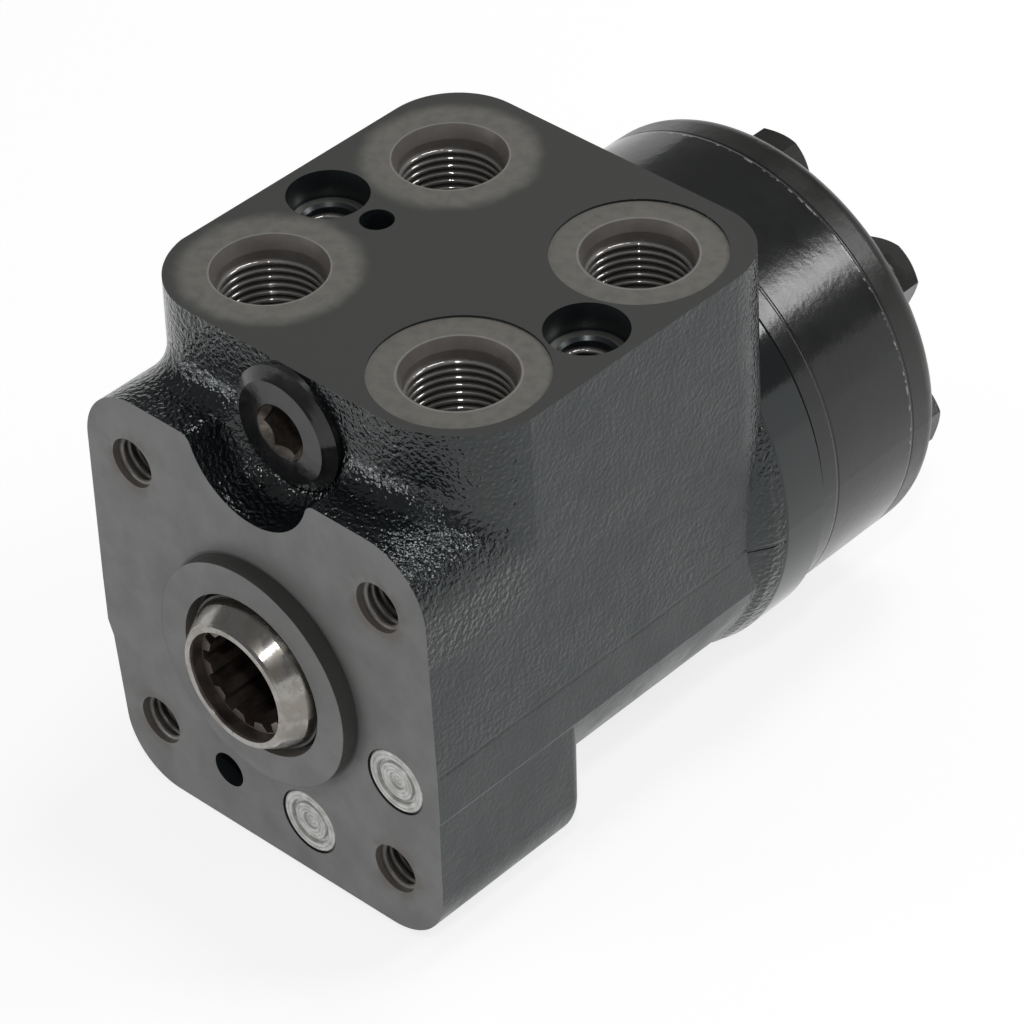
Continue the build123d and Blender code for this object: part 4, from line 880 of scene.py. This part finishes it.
class Finishes:
    """The finishes of the part, each built once."""

    def __init__(self) -> None:
        """Build every material."""
        self.housing = HousingFinish().build()
        self.gear = PaintFinish("gear_set_finish", (0.010, 0.0105, 0.011, 1.0), (0.12, 0.2)).build()
        self.cover = PaintFinish("cover_finish", (0.014, 0.0135, 0.0125, 1.0), (0.26, 0.36), 0.045).build()
        self.bolt = PaintFinish("bolt_finish", (0.016, 0.015, 0.014, 1.0), (0.22, 0.36), 0.045).build()
        self.plug = PlugFinish().build()
        self.hub = HubFinish().build()
        self.silver = SilverPlugFinish().build()
        ground = (0.46, 0.45, 0.43, 1.0)
        blued = (0.2, 0.22, 0.26, 1.0)
        cut = (0.20, 0.19, 0.18, 1.0)
        stain = (0.24, 0.21, 0.18, 1.0)
        oily = (0.09, 0.08, 0.07, 1.0)
        self.steel = SteelFinish("ground_steel_finish", ground, (0.2, 0.36), stain).build()
        self.spring = SteelFinish("spring_steel_finish", blued, (0.28, 0.42), stain, 0.2).build()
        self.thread = SteelFinish(
            "thread_finish", cut, (0.4, 0.5), oily, stain_share=0.4, marks=0.0, metal=0.4, oil=1.0
        ).build()
        self.dull_thread = SteelFinish(
            "dull_thread_finish", cut, (0.4, 0.55), oily, stain_share=0.5, marks=0.0, metal=0.4
        ).build()
        self.rubber = SoftFinish("rubber_finish", (0.014, 0.013, 0.012, 1.0), (0.32, 0.5)).build()
        self.seal = SoftFinish("seal_plastic_finish", (0.5, 0.48, 0.42, 1.0), (0.35, 0.5)).build()


# Pieces


def dress(node: str, material: bpy.types.Material) -> None:
    """Give every material slot of a CAD node one material.

    Args:
        node: Name of the node.
        material: Its finish.
    """
    mesh = frame["nodes"][node].data
    if not mesh.materials:
        mesh.materials.append(material)
    for index in range(len(mesh.materials)):
        mesh.materials[index] = material
    LOG.info("%s: %s", node, material.name)


def sort_faces(mesh: bmesh.types.BMesh) -> None:
    """Sort the faces by their points, because a spin adds them in another order each run.

    Args:
        mesh: The shape.
    """
    mesh.verts.index_update()
    count = len(mesh.verts)

    def rank(face: bmesh.types.BMFace) -> int:
        """Return a number that no other face has."""
        places = [vert.index for vert in face.verts]
        return count * min(places) + max(places)

    mesh.faces.sort(key=rank)


def finish_piece(
    mesh: bmesh.types.BMesh, name: str, material: bpy.types.Material, body: Body
) -> bpy.types.Object:
    """Turn a finished bmesh into a piece of the part.

    Args:
        mesh: The shape, in metres. It is freed.
        name: Name of the piece.
        material: Its finish.
        body: The body that it rides on.

    Returns:
        The new object.
    """
    bmesh.ops.recalc_face_normals(mesh, faces=mesh.faces)
    sort_faces(mesh)
    for face in mesh.faces:
        face.smooth = True
    data = bpy.data.meshes.new(name)
    mesh.to_mesh(data)
    mesh.free()
    data.materials.append(material)
    piece = bpy.data.objects.new(name, data)
    bpy.context.scene.collection.objects.link(piece)
    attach(piece, body.value)
    LOG.info("%s: %d faces", name, len(data.polygons))
    return piece


@dataclass(frozen=True)
class ThreadForm:
    """Inner thread drawn as a helical ridge on the wall of a plain hole."""

    wall_r: float
    crest_r: float
    pitch: float
    start: float
    length: float
    steps: int
    foot_share: float = 0.47
    crest_share: float = 0.11
    bite: float = 0.12

    def add_to(self, mesh: bmesh.types.BMesh, mouth: Vector, axis: Axis) -> None:
        """Add one thread to a mesh.

        Args:
            mesh: Mesh that receives the ridge.
            mouth: Middle of the hole's mouth, in millimetres.
            axis: Way into the housing.
        """
        foot = self.foot_share * self.pitch
        crest = self.crest_share * self.pitch
        profile = (
            (self.wall_r + self.bite, self.start - foot),
            (self.crest_r, self.start - crest),
            (self.crest_r, self.start + crest),
            (self.wall_r + self.bite, self.start + foot),
        )
        ring = [mesh.verts.new((radius * MM, 0.0, depth * MM)) for radius, depth in profile]
        edges = [mesh.edges.new((ring[index], ring[(index + 1) % 4])) for index in range(4)]
        turns = (self.length - 2 * foot) / self.pitch
        count = round(turns * self.steps)
        made = bmesh.ops.spin(
            mesh,
            geom=ring + edges,
            cent=(0.0, 0.0, 0.0),
            axis=(0.0, 0.0, 1.0),
            dvec=(0.0, 0.0, self.pitch * MM / self.steps),
            angle=2.0 * math.pi * count / self.steps,
            steps=count,
        )
        last = [item for item in made["geom_last"] if isinstance(item, bmesh.types.BMVert)]
        mesh.faces.new(ring)
        bmesh.ops.contextual_create(mesh, geom=last)
        added = [vert for vert in mesh.verts if vert.tag is False]
        bmesh.ops.transform(mesh, matrix=Matrix.Translation(mouth * MM) @ axis.value, verts=added)
        for vert in added:
            vert.tag = True


@dataclass
class TappedHoles:
    """Threads of the ports, the mounting holes and the valve block holes."""

    face_z: float = 57.45
    middle_y: float = 50.55
    port_x: float = 22.0
    port_y: float = 22.05
    recess_x: float = 30.13
    ledge_z: float = 51.95
    bolt_offset: float = 29.17
    port: ThreadForm = ThreadForm(9.5, 8.75, 1.5875, 4.1, 12.6, 40)
    mounting: ThreadForm = ThreadForm(4.8, 4.0, 1.5875, 1.1, 16.0, 28)
    block: ThreadForm = ThreadForm(5.0, 4.25, 1.5, 1.6, 13.0, 28)

    def build(self, finishes: Finishes) -> None:
        """Build the threads.

        Args:
            finishes: Materials of the part.
        """
        signs = [(a, b) for a in (-1, 1) for b in (-1, 1)]
        ports = bmesh.new()
        for a, b in signs:
            mouth = Vector((a * self.port_x, self.middle_y + b * self.port_y, self.face_z))
            self.port.add_to(ports, mouth, Axis.DOWN)
        finish_piece(ports, "port_threads", finishes.thread, Body.HOUSING)
        mounting = bmesh.new()
        for a, b in signs:
            mouth = Vector((a * self.bolt_offset, 0.0, b * self.bolt_offset))
            self.mounting.add_to(mounting, mouth, Axis.BACK)
        finish_piece(mounting, "mounting_threads", finishes.dull_thread, Body.HOUSING)
        block = bmesh.new()
        for a in (-1, 1):
            self.block.add_to(block, Vector((a * self.recess_x, self.middle_y, self.ledge_z)), Axis.DOWN)
        finish_piece(block, "valve_block_threads", finishes.thread, Body.HOUSING)


@dataclass(frozen=True)
class CadNodes:
    """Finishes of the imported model's nodes: each has its slot's, and a few have their own."""

    hub: str = "spool"
    cover: str = "end_cover"
    washers: str = "bolt_washers"

    def dress_all(self, finishes: Finishes) -> None:
        """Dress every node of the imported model.

        Args:
            finishes: Materials of the part.
        """
        of_slot = {
            Slot.CASTING: finishes.housing,
            Slot.GEAR_SET: finishes.gear,
            Slot.BOLT: finishes.bolt,
            Slot.PLUG: finishes.plug,
            Slot.SILVER: finishes.silver,
            Slot.STEEL: finishes.steel,
            Slot.SPRING: finishes.spring,
            Slot.RUBBER: finishes.rubber,
            Slot.SEAL: finishes.seal,
        }
        own = {self.hub: finishes.hub, self.cover: finishes.cover, self.washers: finishes.bolt}
        for row in frame["record"]["subparts"]:
            dress(row["node"], own.get(row["node"], of_slot[Slot(row["material_slot"])]))


# Studio


@dataclass(frozen=True)
class SoftBox:
    """Square lamp that looks at the part."""

    name: str
    direction: tuple[float, float, float]
    distance: float
    size: tuple[float, float]
    radiance: float
    tint: tuple[float, float, float] = (1.0, 1.0, 1.0)

    def place(self, target: Vector) -> None:
        """Place the lamp.

        Args:
            target: Point that the lamp looks at.
        """
        lamp = bpy.data.lights.new(self.name, "AREA")
        lamp.shape = "RECTANGLE"
        lamp.size, lamp.size_y = self.size
        lamp.energy = self.radiance * math.pi * self.size[0] * self.size[1]
        lamp.color = self.tint
        holder = bpy.data.objects.new(self.name, lamp)
        bpy.context.scene.collection.objects.link(holder)
        way = Vector(self.direction).normalized()
        holder.location = target + way * self.distance
        holder.rotation_euler = way.to_track_quat("Z", "Y").to_euler()


@dataclass(frozen=True)
class Studio:
    """White table with a low white wall round it, soft lamps and the camera.

    The lamps look at the middle of the part. The table looks white to the camera and in reflections,
    and is lit there by its own glow, so that it keeps the part's shadow.
    """

    azimuth: float = 44.57
    elevation: float = 38.85
    roll: float = -2.5
    focal_px: float = 4260.31
    image_px: float = 1024.0
    distance: float = 725.86
    shift_x: float = 42.21
    shift_z: float = 26.34
    sensor_mm: float = 36.0
    middle: tuple[float, float, float] = (0.0, 0.06, 0.0)
    table_r: float = 3.0
    wall_h: float = 0.8
    wall_foot_r: float = 0.35
    white: Colour = (0.9, 0.9, 0.9, 1.0)
    shaded: Colour = (0.3, 0.3, 0.3, 1.0)
    glow: Colour = (0.80, 0.80, 0.80, 1.0)
    world_strength: float = 0.22
    boxes: tuple[SoftBox, ...] = (
        SoftBox("overhead_box", (0.05, 0.30, 0.94), 1.5, (0.42, 0.42), 8.5),
        SoftBox("rear_right_box", (0.50, 0.57, 0.65), 1.3, (0.34, 0.34), 9.0),
        SoftBox("front_left_box", (-0.55, -0.85, 0.12), 1.5, (0.7, 0.5), 4.5),
        SoftBox("glint_lamp", (0.42, -0.43, 0.80), 1.5, (0.09, 0.09), 125.0),
    )

    def build(self) -> None:
        """Build table, world, lamps and camera."""
        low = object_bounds()[0]
        centre = Vector(self.middle)
        self._table(low[2])
        self._world()
        for lamp in self.boxes:
            lamp.place(centre)
        self._camera()

    def _table(self, floor_z: float) -> None:
        """Build the table and its low wall.

        Args:
            floor_z: Height of the table in metres.
        """
        mesh = bmesh.new()
        made = bmesh.ops.create_circle(mesh, cap_ends=True, segments=96, radius=self.table_r)
        rim = [edge for edge in mesh.edges if edge.is_boundary]
        wall = bmesh.ops.extrude_edge_only(mesh, edges=rim)
        raised = [item for item in wall["geom"] if isinstance(item, bmesh.types.BMVert)]
        bmesh.ops.translate(mesh, vec=(0.0, 0.0, self.wall_h), verts=raised)
        bmesh.ops.bevel(
            mesh,
            geom=[edge for edge in mesh.edges if all(vert in set(made["verts"]) for vert in edge.verts)],
            offset=self.wall_foot_r,
            offset_type="OFFSET",
            affect="EDGES",
            segments=10,
            profile=0.5,
            material=-1,
        )
        bmesh.ops.translate(mesh, vec=(0.0, 0.0, floor_z), verts=mesh.verts)
        bmesh.ops.recalc_face_normals(mesh, faces=mesh.faces)
        for face in mesh.faces:
            face.smooth = True
        data = bpy.data.meshes.new("studio_table")
        mesh.to_mesh(data)
        mesh.free()
        tree = Surface("studio_white")
        path = tree.add("LightPath").outputs
        seen = tree.either(path["Is Camera Ray"], path["Is Glossy Ray"], path["Is Transmission Ray"])
        tree.set(Base_Color=tree.mix(seen, self.white, self.shaded), Roughness=0.9, Specular_IOR_Level=0.0)
        tree.set(Emission_Color=tree.mix(seen, (0.0, 0.0, 0.0, 1.0), self.glow), Emission_Strength=1.0)
        data.materials.append(tree.material)
        table = bpy.data.objects.new("studio_table", data)
        bpy.context.scene.collection.objects.link(table)
        table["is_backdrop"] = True

    def _world(self) -> None:
        """Build the even light of the room."""
        world = bpy.data.worlds.new("studio_room")
        world.use_nodes = True
        background = world.node_tree.nodes["Background"]
        background.inputs["Color"].default_value = (1.0, 1.0, 1.0, 1.0)
        background.inputs["Strength"].default_value = self.world_strength
        bpy.context.scene.world = world

    def _camera(self) -> None:
        """Build the camera from the view of the photograph."""
        turn, tilt, lean = (math.radians(angle) for angle in (self.azimuth, self.elevation, self.roll))
        back = Vector((math.sin(turn) * math.cos(tilt), -math.cos(turn) * math.cos(tilt), math.sin(tilt)))
        right = Vector((math.cos(turn), math.sin(turn), 0.0))
        up = back.cross(right)
        right, up = (
            math.cos(lean) * right + math.sin(lean) * up,
            -math.sin(lean) * right + math.cos(lean) * up,
        )
        data = bpy.data.cameras.new("photo_camera")
        data.sensor_fit = "HORIZONTAL"
        data.sensor_width = self.sensor_mm
        data.lens = self.focal_px / self.image_px * data.sensor_width
        camera = bpy.data.objects.new("photo_camera", data)
        bpy.context.scene.collection.objects.link(camera)
        place = (self.shift_x * right + self.shift_z * up + self.distance * back) * MM
        axes = Matrix((right, up, back)).transposed().to_4x4()
        camera.matrix_world = Matrix.Translation(place) @ axes
        bpy.context.scene.camera = camera


def main() -> None:
    """Dress the part and set up the studio."""
    logging.basicConfig(level=logging.INFO, format="%(name)s: %(message)s")
    bpy.context.scene.view_settings.view_transform = "Standard"
    finishes = Finishes()
    CadNodes().dress_all(finishes)
    TappedHoles().build(finishes)
    Studio().build()


if __name__ == "__main__":
    main()
